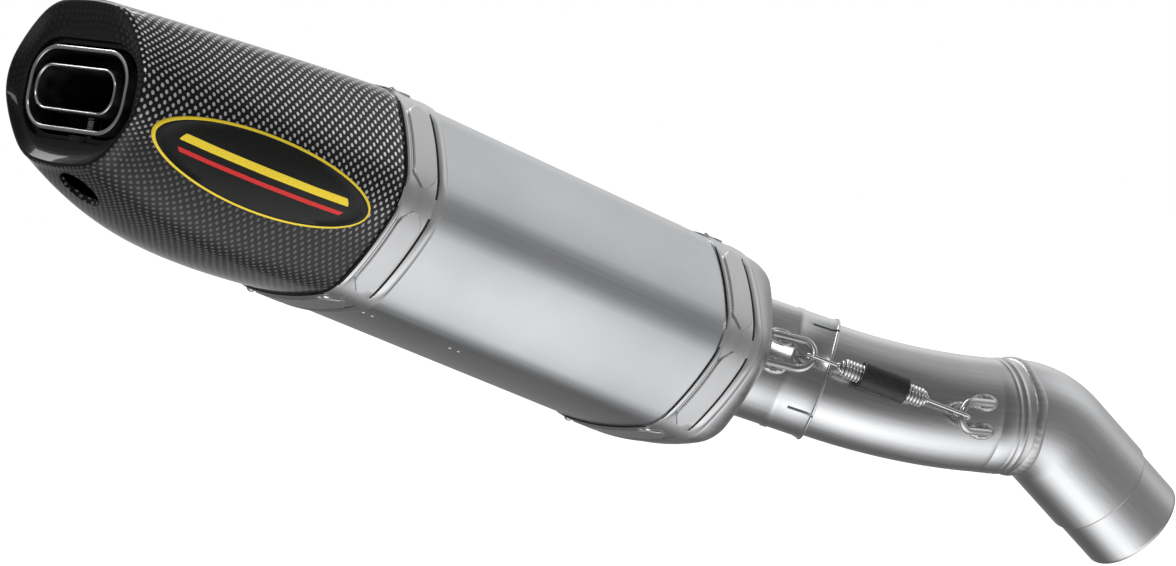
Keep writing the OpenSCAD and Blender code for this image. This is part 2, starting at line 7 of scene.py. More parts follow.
import bmesh
import bpy
import numpy as np
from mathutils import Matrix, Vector


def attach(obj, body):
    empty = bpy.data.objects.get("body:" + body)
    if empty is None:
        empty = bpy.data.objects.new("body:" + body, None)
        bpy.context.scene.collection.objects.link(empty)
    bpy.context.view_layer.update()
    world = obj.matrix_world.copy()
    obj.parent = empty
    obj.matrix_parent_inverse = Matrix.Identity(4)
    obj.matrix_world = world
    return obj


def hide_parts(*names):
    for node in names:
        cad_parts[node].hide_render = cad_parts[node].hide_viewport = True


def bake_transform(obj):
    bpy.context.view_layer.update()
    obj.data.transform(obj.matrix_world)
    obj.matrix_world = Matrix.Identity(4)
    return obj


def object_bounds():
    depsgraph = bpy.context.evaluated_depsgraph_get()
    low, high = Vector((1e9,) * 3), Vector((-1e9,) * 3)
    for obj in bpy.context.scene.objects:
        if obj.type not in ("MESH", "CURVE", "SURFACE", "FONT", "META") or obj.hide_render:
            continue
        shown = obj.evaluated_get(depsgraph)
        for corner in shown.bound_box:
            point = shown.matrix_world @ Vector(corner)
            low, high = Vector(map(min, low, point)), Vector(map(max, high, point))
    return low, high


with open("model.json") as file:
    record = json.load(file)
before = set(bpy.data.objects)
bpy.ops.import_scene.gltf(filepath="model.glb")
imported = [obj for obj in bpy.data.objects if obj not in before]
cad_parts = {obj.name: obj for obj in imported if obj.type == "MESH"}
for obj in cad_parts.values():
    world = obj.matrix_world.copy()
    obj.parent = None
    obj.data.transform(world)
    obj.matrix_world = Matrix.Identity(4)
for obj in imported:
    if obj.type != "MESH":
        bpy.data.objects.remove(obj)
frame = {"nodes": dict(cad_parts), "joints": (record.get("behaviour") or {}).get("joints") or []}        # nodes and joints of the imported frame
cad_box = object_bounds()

# ---- Driving sizes, as in the part's source ----
SLEEVE_W, SLEEVE_H, FLAT_W, CORNER_R, SLEEVE_T = 0.146, 0.097, 0.070, 0.012, 0.001
BAND_SPACING, BAND_W, BAND_T = 0.200, 0.024, 0.0008
MUFFLER_AT, MUFFLER_TILT = (-0.367, 0.0695, 0.147), radians(21.3)
PANEL_T, PANEL_W, RIVET_D, SEAM_RIVET_D = 0.0009, 0.013, 0.0044, 0.0032
SEAM_PAIRS = (-0.081, -0.029)
CAP_LEN, RIM_W, RIM_H, RIM_R, CAP_T = 0.147, 0.094, 0.075, 0.026, 0.0025
RIM_ROUND, FACE_DEPTH, BELLY, LEDGE, DISH_SAG = 0.0025, 0.007, 0.004, (0.0040, 0.0042), 0.0016
OUTLET_W, OUTLET_H, OUTLET_R, OUTLET_T = 0.066, 0.038, 0.015, 0.002
OUTLET_DROP, OUTLET_FRONT, OUTLET_BACK = 0.0025, 0.002, 0.044
INSERT_W, INSERT_H, INSERT_R, INSERT_T = 0.054, 0.021, 0.0095, 0.0015
INSERT_FRONT, INSERT_LEN, END_HOLE_R = 0.001, 0.048, 0.007
RING_X, RING_LEN, RING_CLEAR = 0.024, 0.010, 0.00035
BADGE_MID, BADGE_DOWN, BADGE_LEN, BADGE_WIDTH = 0.526, 0.0165, 0.107, 0.0345
BADGE_TURN = radians(-4)
BADGE_GAP, BADGE_T = 0.00045, 0.0012
SCREW_X, SCREW_Y, SCREW_R, SCREW_PITCH = 0.014, -0.002, 0.003, 0.001
BOSS_R, BOSS_LOW, SEAT_DEPTH = 0.0095, -0.036, 0.006
HEAD_R, HEAD_H, WASHER_R, WASHER_T, SEAT_GAP = 0.005, 0.0036, 0.0064, 0.001, 0.00002
PIPE_R, PIPE_T, SLIP_GAP, TUBE_T, TUBE_LEN = 0.030, 0.0012, 0.00005, 0.0016, 0.060
SLOT_W, SLOT_LEN, CONE_T = 0.0018, 0.015, 0.0012
# Half width and height of the weld beads, and half length, half width and rise of the hooks' weld mounds.
INLET_WELD, ELBOW_WELD, SOCKET_WELD = (0.0024, 0.0012), (0.0036, 0.0013), (0.0012, 0.0006)
MOUND_LEN, MOUND_W, MOUND_RIDGE, MOUND_RISE, MOUND_AT = 0.0078, 0.0048, 0.0014, 0.0010, 0.0035
BEND_R, ELBOW_R, SLIP_LEN, LIP_AT, ROOT_AT = 0.210, 0.045, 0.038, 0.055, 0.044
SOCKET_R, SOCKET_LEN, SOCKET_PUSH, PIPE_SIDES = 0.0272, 0.031, 0.008, 128
RIDGES, RIDGES_END = ((0.0085, 0.0011, 0.0005), (0.0125, 0.0008, 0.0003)), 0.016    # place, width and height
HOOK_R, HOOK_SPAN, HOOK_LEN, HOOK_TILT = 0.002, 0.015, 0.015, radians(22)
COIL_R, WIRE_R, COILS, COIL_SHIFT = 0.005, 0.0009, 29, 0.004
LOOP_R, LOOP_TURN, TAPER_TURNS = 0.0041, radians(235), 3
DAMPER_R, DAMPER_LEN = 0.007, 0.025
# Vertices of the pipe's centreline, from the header socket to inside the muffler.
ROUTE = np.array([(0, 0, 0), (-0.061, 0.0105, 0.060), (-0.131, 0.0245, 0.065), (-0.219, 0.0885, 0.102)])
NEAR_SIDE = np.array((-0.6, -0.8, 0.25))
MUFFLER_SIDE, LINK_SIDE = np.array((-0.53, -0.8, 0.29)), np.array((-0.6, -0.8, 0.06))
MUFFLER_HOOK_AT = 0.032
LINK_TURNS = {1: radians(7), -1: 0.0}

HALF_BAND = BAND_SPACING / 2
SLEEVE_END = HALF_BAND + BAND_W / 2 - 0.002
CAP_START = SLEEVE_END + 0.0025
TUCK = SLEEVE_T + 0.0002
TUBE_RI = PIPE_R + SLIP_GAP
TUBE_RO = TUBE_RI + TUBE_T
PIPE_RI = PIPE_R - PIPE_T
CORE_R, WRAP_R, PLATE_X, PLATE_T = 0.027, 0.031, 0.094, 0.002
HALF_H = SLEEVE_H / 2 - CORNER_R
HALF_FLAT = FLAT_W / 2
SLOPE = atan((SLEEVE_W / 2 - CORNER_R - HALF_FLAT) / HALF_H)


# ---- Vectors and places ----
def unit(v):
    v = np.asarray(v, float)
    return v / np.linalg.norm(v)


def flat_to(v, axis):
    return unit(v - axis * np.dot(v, axis))


def mix(a, b, s):
    return a + (b - a) * s


def ease(t):
    t = np.clip(t, 0, 1)
    return t * t * (3 - 2 * t)


def heading(angle):
    """Unit vector at this angle, or one for each of several."""
    return np.stack([np.cos(angle), np.sin(angle)], -1)


def full_turn(steps):
    return np.linspace(0, 2 * pi, steps, endpoint=False)


def ring_at(r, turn, z):
    """Points round the z axis; r and z are each one number or one for each point."""
    return np.stack(np.broadcast_arrays(r * np.cos(turn), r * np.sin(turn), z), 1)


def distances(path):
    """Distance along a path to each of its points."""
    return np.concatenate([[0], np.cumsum(np.linalg.norm(np.diff(path, axis=0), axis=1))])


class Place:
    """A right-handed frame with its z axis along z and its x axis as near as can be to x."""

    def __init__(self, origin, z, x):
        self.origin = np.asarray(origin, float)
        z = unit(z)
        x = flat_to(x, z)
        self.axes = np.array([x, np.cross(z, x), z])

    def __call__(self, points):
        return self.origin + np.asarray(points, float) @ self.axes

    def inside(self, points):
        return (np.asarray(points, float) - self.origin) @ self.axes.T

    def shifted(self, offset):
        return Place(self(offset), self.axes[2], self.axes[0])


JOINTS = {j["name"]: j for j in frame["joints"]}
MUFFLER = Place(MUFFLER_AT, (sin(MUFFLER_TILT), 0, cos(MUFFLER_TILT)), (1, 0, 0))
out_dir = np.array(JOINTS["insert_slide"]["axis"])
screw_dir = np.array(JOINTS["washer_slide"]["axis"])
RIM = Place(MUFFLER((-HALF_BAND - CAP_LEN, 0, 0)), -screw_dir, -out_dir)
OUTLET = RIM.shifted((0, 0, -OUTLET_DROP))
SCREW = OUTLET.shifted((SCREW_X, SCREW_Y, 0))

socket_dir, mid_dir, slip_dir = (unit(ROUTE[i + 1] - ROUTE[i]) for i in range(3))
lip_pos = ROUTE[2] + slip_dir * LIP_AT


# ---- Outlines in a YZ plane ----
ARC, FACE = 8, 8            # steps round a corner and along a face
SWELL = radians(8.5)        # how far a face's ends lean from its middle
FACE_TURNS = [-SLOPE, SLOPE, pi / 2, pi - SLOPE, pi + SLOPE, 1.5 * pi, 2 * pi - SLOPE]


def hexagon(w, h, r, steps=FACE):
    """Rounded hexagon with faces that swell a little: points, and outward normals."""
    c, a = h / 2 - r, w / 2 - r
    b = a - c * tan(SLOPE)
    corners = np.array([(a, 0), (b, c), (-b, c), (-a, 0), (-b, -c), (b, -c)])
    outs = [heading(np.linspace(n0 + SWELL, n1 - SWELL, ARC + 1))
            for n0, n1 in zip(FACE_TURNS, FACE_TURNS[1:])]
    arcs = [corner + r * out for corner, out in zip(corners, outs)]
    lean = np.arcsin((2 * np.arange(1, steps) / steps - 1) * sin(SWELL))
    points, normals = [], []
    for k in range(6):
        p, q, face = arcs[k][-1], arcs[(k + 1) % 6][0], FACE_TURNS[k + 1]
        ball, out = np.linalg.norm(q - p) / 2 / sin(SWELL), heading(face + lean)
        points += [arcs[k], (p + q) / 2 + ball * (out - cos(SWELL) * heading(face))]
        normals += [outs[k], out]
    return np.vstack(points), np.vstack(normals)


def rounded_rect(w, h, r, corner_steps=10, side_steps=6):
    """Rounded rectangle as points with short steps along its sides."""
    turn = pi / 2 * np.linspace(0, 1, corner_steps + 1)
    middles = np.array([(1, 1), (-1, 1), (-1, -1), (1, -1)]) * (w / 2 - r, h / 2 - r)
    arcs = [middle + r * heading(turn + k * pi / 2) for k, middle in enumerate(middles)]
    along = np.arange(1, side_steps)[:, None] / side_steps
    return np.vstack([part for k in range(4)
                      for part in (arcs[k], mix(arcs[k][-1], arcs[(k + 1) % 4][0], along))])


def at_x(outline, x):
    """Stands a YZ outline at x, which is one number or one for each point."""
    return np.column_stack([np.broadcast_to(x, len(outline)), outline])


# ---- Mesh building ----
class Build:
    """Collects grids and fans into one mesh, with UVs in metres along and around each grid."""

    def __init__(self):
        self.points, self.faces, self.uvs, self.slots = [], [], [], []

    def add(self, points):
        first = len(self.points)
        self.points.extend(np.asarray(points, float).tolist())
        return first

    def grid(self, rings, loop=False, wrap=True, slot=0, uv=None):
        """Quads through rings of equal length; loop joins the last ring to the first."""
        rings = np.asarray(rings, float)
        m, n = rings.shape[:2]
        first = self.add(rings.reshape(-1, 3))
        along = np.linalg.norm(np.roll(rings, -1, 0) - rings, axis=2).mean(1)
        around = np.linalg.norm(np.roll(rings, -1, 1) - rings, axis=2).mean(0)
        if uv is None:
            uv = [[(a, b) for b in (0, *np.cumsum(around))] for a in (0, *np.cumsum(along))]
        slot_of = slot if callable(slot) else lambda i, j: slot
        for i in range(m if loop else m - 1):
            for j in range(n if wrap else n - 1):
                i2, j2 = (i + 1) % m, (j + 1) % n
                self.faces.append([first + a * n + b for a, b in ((i, j), (i2, j), (i2, j2), (i, j2))])
                self.uvs.append([uv[i][j], uv[i + 1][j], uv[i + 1][j + 1], uv[i][j + 1]])
                self.slots.append(slot_of(i, j))
        return self

    def cap(self, ring, flip=False, slot=0):
        """Closes a ring with a fan about its middle."""
        ring = np.asarray(ring, float)
        first, n = self.add(np.vstack([ring, ring.mean(0)])), len(ring)
        for j in range(n):
            face = [first + j, first + (j + 1) % n, first + n]
            self.faces.append(face[::-1] if flip else face)
        self.uvs += [[(0.0, 0.0)] * 3] * n
        self.slots += [slot] * n

    def lathe(self, place, profile, steps, closed=False):
        """Turns (radius, height) points about the place's z axis; closed joins their two ends."""
        rings = [place(ring_at(r, full_turn(steps), z)) for r, z in profile]
        self.grid(rings, loop=closed)
        if not closed:
            for end, flip in ((0, False), (-1, True)):
                if profile[end][0] > 1e-6:
                    self.cap(rings[end], flip)
        return self

    def solid(self, rings, slot=0):
        """A grid with both of its ends closed."""
        self.grid(rings, slot=slot)
        self.cap(rings[0], False, slot)
        self.cap(rings[-1], True, slot)
        return self

    def box(self, place, low, high):
        """A box between two corners in a place."""
        ring = [(low[0], low[1]), (high[0], low[1]), (high[0], high[1]), (low[0], high[1])]
        return self.solid([place([(*corner, z) for corner in ring]) for z in (low[2], high[2])])

    def make(self, name, materials, body=None, replaces=(), sharp=38):
        """The finished object: welded, outward-facing and smooth except at sharp edges."""
        mesh = bpy.data.meshes.new(name)
        mesh.from_pydata(self.points, [], self.faces)
        layer = mesh.uv_layers.new(name="UVMap")
        layer.data.foreach_set("uv", np.array([c for f in self.uvs for p in f for c in p], np.float32))
        mesh.polygons.foreach_set("material_index", self.slots)
        for m in materials:
            mesh.materials.append(m)
        obj = bpy.data.objects.new(name, mesh)
        bpy.context.scene.collection.objects.link(obj)
        weld(mesh)
        smooth(mesh, sharp)
        if body:
            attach(obj, body)
        if replaces:
            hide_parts(*replaces)
        return obj


def weld(mesh):
    bm = bmesh.new()
    bm.from_mesh(mesh)
    bmesh.ops.remove_doubles(bm, verts=bm.verts, dist=2e-6)
    bmesh.ops.dissolve_degenerate(bm, edges=bm.edges, dist=1e-6)
    bmesh.ops.recalc_face_normals(bm, faces=bm.faces)
    bm.to_mesh(mesh)
    bm.free()


def smooth(mesh, sharp):
    mesh.polygons.foreach_set("use_smooth", [True] * len(mesh.polygons))
    mesh.set_sharp_from_angle(angle=radians(sharp))


def swept(path, radii, sides, x=NEAR_SIDE):
    """Rings of the given radii about a path, carried along it without twist; the first starts towards x."""
    ring, rings = heading(full_turn(sides)), []
    for p, r, t in zip(path, np.broadcast_to(radii, len(path)), np.gradient(path, axis=0)):
        x = flat_to(x, unit(t))
        rings.append(p + r * ring @ np.array([x, np.cross(unit(t), x)]))
    return rings


def arc_path(vertex, dir_in, dir_out, r, steps):
    """Points of a bend of radius r between two straight runs."""
    angle = acos(np.dot(dir_in, dir_out))
    start = vertex - dir_in * r * tan(angle / 2)
    turn = np.linspace(0, angle, steps)[:, None]
    return start + r * (flat_to(dir_out, dir_in) * (1 - np.cos(turn)) + dir_in * np.sin(turn))


# ---- Materials ----
def new_material(name, color, metallic, roughness, **sockets):
    mat = bpy.data.materials.new(name)
    mat.use_nodes = True
    n = Nodes(mat.node_tree, "Principled BSDF")
    sockets.update(Base_Color=(*color, 1), Metallic=metallic, Roughness=roughness)
    for key, value in sockets.items():
        n.shader.inputs[key.replace("_", " ")].default_value = value
    return mat, n


class Nodes:
    """Short calls for the shader nodes that the materials use."""

    def __init__(self, tree, shader):
        self.tree, self.shader = tree, tree.nodes[shader]

    def add(self, kind, inputs=(), **settings):
        node = self.tree.nodes.new("ShaderNode" + kind)
        for key, value in settings.items():
            setattr(node, key, value)
        for key, value in dict(inputs).items():
            if hasattr(value, "is_output"):
                self.tree.links.new(value, node.inputs[key])
            else:
                node.inputs[key].default_value = value
        return node

    def feed(self, key, output):
        self.tree.links.new(output, self.shader.inputs[key])

    def math(self, operation, a, b=0.0, clamp=False):
        return self.add("Math", {0: a, 1: b}, operation=operation, use_clamp=clamp).outputs[0]

    def mul(self, a, b, clamp=False):
        return self.math("MULTIPLY", a, b, clamp)

    def plus(self, a, b):
        return self.math("ADD", a, b)

    def minus(self, a, b):
        return self.math("SUBTRACT", a, b)

    def square(self, a):
        return self.mul(a, a)

    def coordinates(self, kind, scale):
        place = self.add("TexCoord").outputs[kind]
        return self.add("Mapping", {"Vector": place, "Scale": scale}).outputs[0]

    def noise(self, kind, scale, detail, rough=0.5):
        return self.add("TexNoise", {"Vector": self.coordinates(kind, scale), "Scale": 1.0, "Detail": detail,
                                     "Roughness": rough}).outputs[0]

    def remap(self, value, low, high, from_low=0.3, from_high=0.7):
        return self.add("MapRange", {"Value": value, "From Min": from_low, "From Max": from_high,
                                     "To Min": low, "To Max": high}).outputs[0]

    def shade(self, value, dark, light):
        return self.mix(value, (*dark, 1), (*light, 1))

    def mix(self, value, a, b, kind="RGBA"):
        return self.add("Mix", {"Factor": value, "A": a, "B": b}, data_type=kind).outputs["Result"]

    def bump(self, height, strength, distance):
        node = self.add("Bump", {"Height": height, "Strength": strength, "Distance": distance})
        self.feed("Normal", node.outputs[0])


def brushed(name, color, roughness, kind="UV", along=12, across=900, spread=0.06, bump=0.12):
    """Metal with a fine grain along u, cloudy patches and a little roughness variation."""
    mat, n = new_material(name, color, 1.0, roughness)
    grain = n.noise(kind, (along, across, across), 4, 0.6)
    cloud = n.noise(kind, (14, 14, 14), 3)
    n.feed("Roughness", n.remap(grain, roughness - spread, roughness + spread))
    tone = n.plus(n.mul(grain, 0.5), n.mul(cloud, 0.5))
    dark, light = (tuple(c * k for c in color) for k in (0.88, 1.08))
    n.feed("Base Color", n.shade(n.remap(tone, 0, 1, 0.35, 0.65), dark, light))
    n.bump(grain, bump, 0.0001)
    return mat


# Painted shade on the cap: distances round it over which the weave's shine rises, below the top corner,
# and fades again below the side corner, painting the strip under the top corner and the lower faces darker.
CARBON_RISE, CARBON_SHADE = (0.112, 0.132), (0.155, 0.195)
TOWS = 480.0                    # tows in a metre


def carbon_weave(name, strength):
    """Plain-woven carbon under clear gloss: shiny tow crossings on black."""
    mat, n = new_material(name, (0.01, 0.01, 0.011), 0.0, 0.34, Coat_Weight=1.0, Coat_Roughness=0.05,
                          Coat_IOR=1.3, Specular_IOR_Level=0.15)
    wobble = n.noise("UV", (30, 30, 30), 2)
    uv = n.add("SeparateXYZ", {0: n.coordinates("UV", (TOWS, TOWS, 1))}).outputs
    u, v = n.plus(uv[0], n.mul(wobble, 1.6)), uv[1]
    cell = n.plus(n.math("FLOOR", u), n.math("FLOOR", v))
    over = n.add("Math", {0: n.math("FRACT", n.mul(cell, 0.5)), 1: 0.0, 2: 0.25},
                 operation="COMPARE").outputs[0]
    across, down = (n.mul(n.minus(n.math("FRACT", a), 0.5), 2) for a in (u, v))
    round_off = n.plus(n.mul(n.square(across), 1.7), n.mul(n.square(down), 1.2))
    pillow = n.math("MAXIMUM", n.minus(1.0, round_off), 0.0)
    crossing = n.mul(n.mul(pillow, 2.4, clamp=True), over)
    strands = n.noise("UV", (4000, 400, 1), 2)
    shine = n.mul(crossing, n.remap(strands, 0.7, 1.2), clamp=True)
    # Painted shade: the crossings' shine is scaled by strength and dimmed by distance round the cap, on the
    # lower faces and just below the top corner.
    round_cap = n.add("SeparateXYZ", {0: n.coordinates("UV", (1, 1, 1))}).outputs[1]
    under = n.remap(round_cap, strength, 0.09 * strength, *CARBON_SHADE)
    rise = n.remap(round_cap, 0.15, 1.0, *CARBON_RISE)
    shine = n.mul(shine, n.mul(under, rise), clamp=True)
    n.feed("Base Color", n.shade(shine, (0.005, 0.005, 0.006), (0.95, 0.95, 0.96)))
    n.feed("Metallic", shine)
    n.bump(pillow, 0.35, 0.0002)
    return mat


def badge_enamel():
    """Yellow rim round a black field with two lengthwise racing stripes, under clear gloss."""
    mat, n = new_material("badge_enamel", (0.02, 0.02, 0.02), 0.0, 0.4, Coat_Weight=0.25,
                          Coat_Roughness=0.1, Specular_IOR_Level=0.2)
    uv = n.add("SeparateXYZ", {0: n.coordinates("UV", (1, 1, 1))}).outputs
    a, b = uv[0], uv[1]

    def length_of(u, v):
        return n.math("SQRT", n.plus(n.square(u), n.square(v)))

    def stripe(middle, half):
        return n.mul(n.math("LESS_THAN", n.math("ABSOLUTE", n.minus(b, middle)), half), inside)

    size = length_of(a, b)
    slope = length_of(n.math("DIVIDE", a, BADGE_LEN / 2), n.math("DIVIDE", b, BADGE_WIDTH / 2))
    from_edge = n.math("DIVIDE", n.mul(n.minus(1.0, size), size), slope)
    rim = n.mul(n.math("LESS_THAN", from_edge, 0.0012), n.math("GREATER_THAN", size, 0.5))
    inside = n.math("LESS_THAN", size, 0.78)
    speck = n.noise("UV", (40, 40, 1), 3)
    tone = n.remap(speck, 0, 1)
    field = n.shade(tone, (0.004, 0.005, 0.004), (0.010, 0.012, 0.010))
    yellow = n.shade(tone, (0.82, 0.60, 0.02), (0.95, 0.72, 0.05))
    red = n.shade(tone, (0.62, 0.02, 0.02), (0.75, 0.035, 0.03))
    with_red = n.mix(stripe(-0.20, 0.055), field, red)
    n.feed("Base Color", n.mix(n.math("MAXIMUM", rim, stripe(0.14, 0.10)), with_red, yellow))
    n.bump(speck, 0.05, 0.0001)
    return mat


def grained(name, metallic, rough, scale, detail, shades, bump, kind="UV", patch=None):
    """Metal or rubber whose noise sets its roughness, its bump and, unless it has patches, its colour."""
    mat, n = new_material(name, shades[1], metallic, rough[0])
    grain = n.noise(kind, scale, detail)
    spots = n.noise(kind, patch, 2) if patch else grain
    n.feed("Roughness", n.remap(grain, *rough))
    n.feed("Base Color", n.shade(n.remap(spots, 0, 1), *shades))
    n.bump(grain, *bump)
    return mat


def fibre(name, dark, light, metallic, scale):
    """Matted fibres: stretched, tangled noise."""
    mat, n = new_material(name, light, metallic, 0.7)
    warp = n.noise("Object", (40, 40, 40), 2)
    strand = n.noise("Object", (scale, scale * 8, scale), 6, 0.7)
    tangle = n.mul(n.plus(warp, strand), 0.5)
    n.feed("Base Color", n.shade(n.remap(tangle, 0, 1, 0.35, 0.65), dark, light))
    n.bump(tangle, 0.8, 0.001)
    return mat


TITANIUM = brushed("brushed_titanium", (0.595, 0.605, 0.62), 0.30)
CAP_TITANIUM = brushed("pressed_titanium", (0.555, 0.56, 0.57), 0.33, along=60, across=300)
PIPE = brushed("pipe_titanium", (0.65, 0.655, 0.665), 0.20, along=30, across=400)
SATIN = brushed("band_titanium", (0.635, 0.64, 0.65), 0.30, along=400, across=30)
PANEL = brushed("panel_titanium", (0.68, 0.685, 0.695), 0.42, along=400, across=400, bump=0.2)
STEEL = brushed("stainless_steel", (0.66, 0.66, 0.66), 0.20, along=60, across=60)
RIVET = brushed("rivet_steel", (0.72, 0.72, 0.72), 0.16, "Object", 300, 300)
INNER_STEEL = brushed("inner_steel", (0.5, 0.49, 0.48), 0.38, "Object", 60, 500)
SPRING = brushed("spring_steel", (0.75, 0.75, 0.76), 0.14, along=200, across=600, spread=0.04)
WELD = grained("weld_metal", 1.0, (0.26, 0.46), (500, 900, 900), 4,
               ((0.50, 0.50, 0.52), (0.68, 0.67, 0.66)), (0.3, 0.0001), patch=(60, 60, 60))
RUBBER = grained("black_rubber", 0.0, (0.36, 0.6), (300, 900, 900), 4,
                 ((0.012, 0.012, 0.013), (0.03, 0.03, 0.03)), (0.4, 0.0002))
# Dark steel, sooty inside the outlet and insert; on the bands' gaps and groove floors and in the screw boss's
# recess its darkness is painted shade.
SOOT_AND_SHADE = grained("sooty_steel_and_painted_shade", 0.35, (0.4, 0.75), (160, 160, 160), 5,
               ((0.006, 0.006, 0.006), (0.035, 0.034, 0.033)), (0.3, 0.0002), "Object")
# The dish's copy of the weave has its shine cut to 0.06 as painted shade in the hollow round the outlet.
CARBON, PAINTED_SHADE_DISH_CARBON = carbon_weave("carbon_weave", 1.0), carbon_weave("carbon_dish_painted_shade", 0.06)
BADGE = badge_enamel()
WOOL = fibre("steel_wool", (0.12, 0.12, 0.12), (0.5, 0.5, 0.5), 0.8, 500)
PACKING = fibre("glass_packing", (0.62, 0.58, 0.45), (0.95, 0.93, 0.84), 0.0, 300)


# ---- Muffler sleeve and bands ----
# The sheet is bent more softly at its corners than its nominal radius. Its faces stand further out by
# FULLER, which gives back what the soft corners take from the outline.
SOFT_R, FULLER = 0.024, 0.0010
SOFT_W = SLEEVE_W - 2 * (SOFT_R - CORNER_R) * (1 / cos(SLOPE) - 1)


def sleeve_ring(d, steps=FACE):
    """Outline of the sleeve, grown by d and by FULLER, and its normals."""
    d = d + FULLER
    return hexagon(SOFT_W + 2 * d, SLEEVE_H + 2 * d, SOFT_R + d, steps)


def band_ring(x, d):
    return at_x(sleeve_ring(d)[0], x)


def make_sleeve():
    xs = np.linspace(-SLEEVE_END, SLEEVE_END, 24)
    rings = [band_ring(x, 0) for x in xs] + [band_ring(x, -SLEEVE_T) for x in xs[::-1]]
    build = Build().grid(MUFFLER(rings), loop=True)
    build.make("titanium_sleeve", [TITANIUM], "muffler", ["sleeve"])


# Across a band from its rear edge: a gap, a lip, the panels, a groove and a wider lip.
GAP_END, LIP_END, GROOVE_START, GROOVE_END = 0.0006, 0.0030, 0.0178, 0.0190
LIP_H, FADE_START, FADE_END, PANEL_INSET = 0.0007, 0.004, 0.012, 0.0055
BAND_LIFT, STEP_W = 0.00005, 0.0001     # the strap's clearance over the sleeve, and a sharp step's width
TIP_LEN, TIP_WIDTH, PANEL_EDGE = 0.0055, 0.22, 0.0005


def band_height(across, fade):
    """Height of the band's surface above the sleeve, across from its rear edge."""
    if across < GAP_END:
        return mix(BAND_T, 0.0001, fade)
    if across < LIP_END:
        return BAND_T + fade * LIP_H * 0.7 * sin(pi * (across - GAP_END) / (LIP_END - GAP_END))
    if GROOVE_START <= across <= GROOVE_END:
        return mix(BAND_T, 0.0002, fade)
    if across > GROOVE_END:
        rise = min(1, (across - GROOVE_END) / (BAND_W - GROOVE_END))
        return BAND_T + fade * LIP_H * sin(pi * rise)
    return np.full_like(fade, BAND_T)


class Girth:
    """The sleeve's outline by distance round it, with its corners and faces."""
    STEPS = 22

    def __init__(self):
        self.points, self.normals = sleeve_ring(0, self.STEPS)
        self.at = distances(np.vstack([self.points, self.points[:1]]))
        self.total = self.at[-1]
        block = ARC + self.STEPS
        self.corners = [self.at[k * block + ARC // 2] for k in range(6)]
        self.from_corner = np.min([np.abs((self.at[:-1] - c + self.total / 2) % self.total - self.total / 2)
                                   for c in self.corners], 0)

    def faces(self):
        """The middle of each face and its length from corner to corner."""
        for k in range(6):
            length = (self.corners[(k + 1) % 6] - self.corners[k]) % self.total
            yield self.corners[k] + length / 2, length

    def look_up(self, distance):
        """Point and normal this far round."""
        return [np.array([np.interp(distance, self.at[:-1], values[:, k], period=self.total) for k in (0, 1)])
                for values in (self.points, self.normals)]


def add_panel(build, girth, x, middle, length):
    """Pressed panel with pointed ends that follows its face."""
    low, shoulder = -0.0004, PANEL_T - 0.0004
    rings = []
    for y in np.concatenate([[-1, -0.985], np.linspace(-0.8, 0.8, 13), [0.985, 1]]) * length / 2:
        point, normal = girth.look_up(middle + y)
        half = PANEL_W / 2 * min(1, TIP_WIDTH + (1 - TIP_WIDTH) * (length / 2 - abs(y)) / TIP_LEN)
        profile = [(-half, low), (-half, shoulder), (-half + PANEL_EDGE, PANEL_T),
                   (half - PANEL_EDGE, PANEL_T), (half, shoulder), (half, low)]
        rings.append(MUFFLER([(x + u, *(point + normal * (BAND_T + z))) for u, z in profile]))
    build.solid(rings, 1)


def make_band(name, node, x):
    """Strap with lips and a groove that fade at the corners, and a panel on each face."""
    build, girth = Build(), Girth()
    fade = ease((girth.from_corner - FADE_START) / (FADE_END - FADE_START))
    places = [0, STEP_W, GAP_END - STEP_W, *np.linspace(GAP_END, LIP_END, 7), 0.008, 0.013,
              GROOVE_START - STEP_W, GROOVE_START, GROOVE_END, GROOVE_END + STEP_W,
              *np.linspace(GROOVE_END, BAND_W, 10)[1:]]

    def ring(lift, across):
        return MUFFLER(at_x(girth.points + girth.normals * lift, x - BAND_W / 2 + across))

    # Faces in the strap's gap and groove floor, away from the corners, take the dark material as painted
    # shade.
    def dark(i, j):
        across = places[i] if i < len(places) else BAND_W
        in_gap = across < GAP_END - BAND_LIFT or GROOVE_START - BAND_LIFT < across < GROOVE_END
        return 2 if in_gap and girth.from_corner[j] > PANEL_INSET else 0

    rings = [ring(BAND_LIFT + band_height(across, fade)[:, None], across) for across in places]
    build.grid(rings + [ring(BAND_LIFT, BAND_W), ring(BAND_LIFT, 0)], loop=True, slot=dark)
    panel_x = x + (LIP_END + GROOVE_START) / 2 - BAND_W / 2
    for middle, length in girth.faces():
        add_panel(build, girth, panel_x, middle, length - 2 * PANEL_INSET)
    build.make(name, [SATIN, PANEL, SOOT_AND_SHADE], "muffler", [node], sharp=30)


def add_rivet(build, d, base, x, y, z):
    """Domed head that faces away from the muffler's axis, over a shank that starts at base."""
    r, dome, side = d / 2, d * 0.3, np.sign(z)
    ball = (r * r + dome * dome) / (2 * dome)
    arc = [(ball * sin(a), dome - ball + ball * cos(a)) for a in np.linspace(asin(r / ball), 0, 8)]
    place = Place(MUFFLER((x, y, z)), side * MUFFLER.axes[2], MUFFLER.axes[0])
    build.lathe(place, [(r, base)] + arc, 20)


